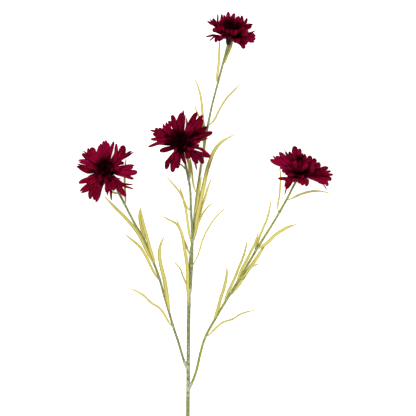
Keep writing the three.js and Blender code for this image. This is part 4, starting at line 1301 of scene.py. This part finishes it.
class CORNFLOWER_OT_stems(bpy.types.Operator):
    """Make the main stem with its collars, and the three side stems"""

    bl_idname = "cornflower.stems"
    bl_label = "Stems"

    def execute(self, context):
        sides = context.scene.cornflower_leaves.sides
        material = stem_finish(context.scene.cornflower_finishes)
        routes = {name: stem_route(name) for name in STEMS}
        main = tube("trunk", *stem_profile("main", routes["main"]), sides, OLIVE["main"])
        collars = [collar(name, routes[name], sides) for name in BRANCHES]
        main = joined([main, *collars], "main_stem")
        face_outwards(main)
        hand_over(main, material, "stem", "stem_main")
        for name in BRANCHES:
            start = COLLAR["plug"] * COLLAR["length"] / routes[name].length
            side = tube(f"side_stem_{name}", *stem_profile(name, routes[name], start), sides, OLIVE[name])
            face_outwards(side)
            hand_over(side, material, "stem", f"branch_{name}")
        return {"FINISHED"}


# Leaves


def leaf(stem, stem_line, shape, settings, draw, name):
    """A narrow strap leaf folded along its midrib, rooted on the skin of its stem."""
    width, side, climb, route = shape
    share = stem_line.nearest(route[0])
    on_stem = stem_line.at(share)
    forward = Vector(stem_line.along(share))
    away = Vector((route[1][0] - on_stem[0], route[1][1] - on_stem[1], 0))
    away -= forward * away.dot(forward)
    level = Vector((away.x, away.y, 0)).normalized()
    lean = math.radians(side)
    outward = level * math.cos(lean) + UP * math.sin(lean)
    root = Vector(on_stem) + outward * (stem_radius(stem, on_stem, share) + STRAP["gap"])
    last = Vector(route[-1])
    end = last + (last - Vector(route[-2])).normalized() * TIP_REACH
    plan = Route([(root.x, root.y, 0), *[(x, y, 0) for x, y in (*route[1:-1], end)]])
    roll = math.radians(STRAP["roll"] * (2 * draw() - 1))
    twist = math.radians(STRAP["twist"] * (2 * draw() - 1))
    rows = max(STRAP["rows"], int(plan.length / STRAP["row"]))
    clear_selection()
    bpy.ops.mesh.primitive_grid_add(x_subdivisions=4, y_subdivisions=rows, size=1)
    blade = bpy.context.object
    flat = flat_points(blade) + (0, 0.5, 0)
    x, t = flat[:, 0] * 2, flat[:, 1]
    centre = plan.at(t)
    centre[:, 2] = root.z + climb * t ** STRAP["climb"]
    tangent = plan.along(t)
    across = np.cross(tangent, tuple(UP))
    across /= np.linalg.norm(across, axis=1, keepdims=True)
    turn = (roll + twist * t)[:, None]
    across = across * np.cos(turn) + np.cross(tangent, across) * np.sin(turn)
    upward = np.cross(across, tangent)
    late, blunt = STRAP["tip"]
    full = np.minimum(1, STRAP["foot"] + t / STRAP["broad"]) * (1 - t**late) ** blunt
    half = np.maximum(full * (width + STRAP["rounding"]), STRAP["least"]) / 2
    phase = draw() * FULL_TURN
    fold = settings.fold * np.abs(x) * half
    ends = np.minimum(1, 4 * t * (1 - t))
    wave = settings.wave / MM * x**2 * np.sin(phase + plan.length / STRAP["wave"] * t * FULL_TURN) * ends
    form = centre + across * (x * half)[:, None] + upward * (fold + wave)[:, None]
    form[:, 2] = np.maximum(form[:, 2], LOWEST["leaf"])
    bend_to(blade, [placed(point) for point in form])
    lay_map(blade, np.column_stack([flat[:, 0], t]))
    mark(blade, "tone", draw())
    blade.name = blade.data.name = name
    shell(blade, settings.blade)
    return blade


class CORNFLOWER_OT_leaves(bpy.types.Operator):
    """Make the strap leaves"""

    bl_idname = "cornflower.leaves"
    bl_label = "Leaves"

    def execute(self, context):
        settings = context.scene.cornflower_leaves
        material = leaf_finish(context.scene.cornflower_finishes)
        for group, (stem, seed) in LEAF_GROUPS.items():
            draw = draws(seed)
            route = stem_route(stem)
            for i, shape in enumerate(LEAVES[group], start=1):
                blade = leaf(stem, route, shape, settings, draw, f"strap_{group}_{i}")
                hand_over(blade, material, "leaf", f"leaf_{group}_{i}")
        return {"FINISHED"}


# Stage


class StageSettings(bpy.types.PropertyGroup):
    """Camera and light"""

    field: FloatProperty(
        name="Field", description="Width of the view at the blooms", default=0.414, unit="LENGTH")
    lens: FloatProperty(name="Lens", description="Focal length of the camera", default=300, unit="CAMERA")
    aim: FloatVectorProperty(
        name="Aim", description="Middle of the view", subtype="TRANSLATION", size=2,
        default=(3.4 * MM, 21 * MM))
    sky: FloatProperty(name="Sky", description="Strength of the light from all round", default=0.42)
    glow: FloatProperty(name="Glow", description="Light of the floor itself", default=0.75)
    key: FloatProperty(name="Key", description="Power of the soft lamp", default=42.0, unit="POWER")


class CORNFLOWER_OT_stage(bpy.types.Operator):
    """Lay a pale floor and set the light and the camera, which looks straight down"""

    bl_idname = "cornflower.stage"
    bl_label = "Stage"

    def execute(self, context):
        settings = context.scene.cornflower_stage
        clear_selection()
        bpy.ops.mesh.primitive_plane_add(size=6, location=(0, 0, 0))
        floor = context.object
        floor.name = "floor"
        finish = Finish("pale_floor")
        floor.data.materials.append(finish.done(
            Base_Color=(0.9, 0.9, 0.9), Roughness=0.9,
            Emission_Color=(1, 1, 1), Emission_Strength=settings.glow))
        world = bpy.data.worlds.new("studio")
        world.use_nodes = True
        background = world.node_tree.nodes["Background"]
        background.inputs["Color"].default_value = (1, 1, 1, 1)
        background.inputs["Strength"].default_value = settings.sky
        context.scene.world = world
        for place, share, size in LAMPS:
            bpy.ops.object.light_add(type="AREA", location=place)
            lamp = context.object
            lamp.data.energy = settings.key * share
            lamp.data.size = size
            lamp.rotation_euler = Vector(place).to_track_quat("Z", "Y").to_euler()
        bpy.ops.object.camera_add(rotation=(0, 0, 0))
        camera = context.object
        camera.data.lens = settings.lens
        distance = settings.field * settings.lens / camera.data.sensor_width
        camera.location = (*settings.aim, distance + FIELD_HEIGHT * MM)
        camera.data.clip_end = 20
        context.scene.camera = camera
        context.scene.view_settings.view_transform = "Standard"
        return {"FINISHED"}


class CORNFLOWER_PT_panel(bpy.types.Panel):
    """Steps of the cornflower spray"""

    bl_idname = "CORNFLOWER_PT_panel"
    bl_label = "Cornflower"
    bl_space_type = "VIEW_3D"
    bl_region_type = "UI"
    bl_category = "Cornflower"

    def draw(self, context):
        for settings in GROUPS:
            box = self.layout.box()
            for prop in getattr(context.scene, settings).bl_rna.properties:
                if prop.identifier not in ("rna_type", "name"):
                    box.prop(getattr(context.scene, settings), prop.identifier)
        for step in STEPS:
            self.layout.operator(step.bl_idname)


GROUPS = {
    "cornflower_blooms": BloomSettings,
    "cornflower_leaves": LeafSettings,
    "cornflower_finishes": FinishSettings,
    "cornflower_stage": StageSettings,
}
STEPS = (
    CORNFLOWER_OT_petals,
    CORNFLOWER_OT_middles,
    CORNFLOWER_OT_calyxes,
    CORNFLOWER_OT_stems,
    CORNFLOWER_OT_leaves,
    CORNFLOWER_OT_stage,
)


def register():
    for item in (*GROUPS.values(), *STEPS, CORNFLOWER_PT_panel):
        bpy.utils.register_class(item)
    for name, group in GROUPS.items():
        setattr(bpy.types.Scene, name, PointerProperty(type=group))


def unregister():
    for name in GROUPS:
        delattr(bpy.types.Scene, name)
    for item in reversed((*GROUPS.values(), *STEPS, CORNFLOWER_PT_panel)):
        bpy.utils.unregister_class(item)


def main():
    register()
    bpy.ops.cornflower.petals()
    bpy.ops.cornflower.middles()
    bpy.ops.cornflower.calyxes()
    bpy.ops.cornflower.stems()
    bpy.ops.cornflower.leaves()
    bpy.ops.cornflower.stage()
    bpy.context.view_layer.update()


if __name__ == "__main__":
    main()
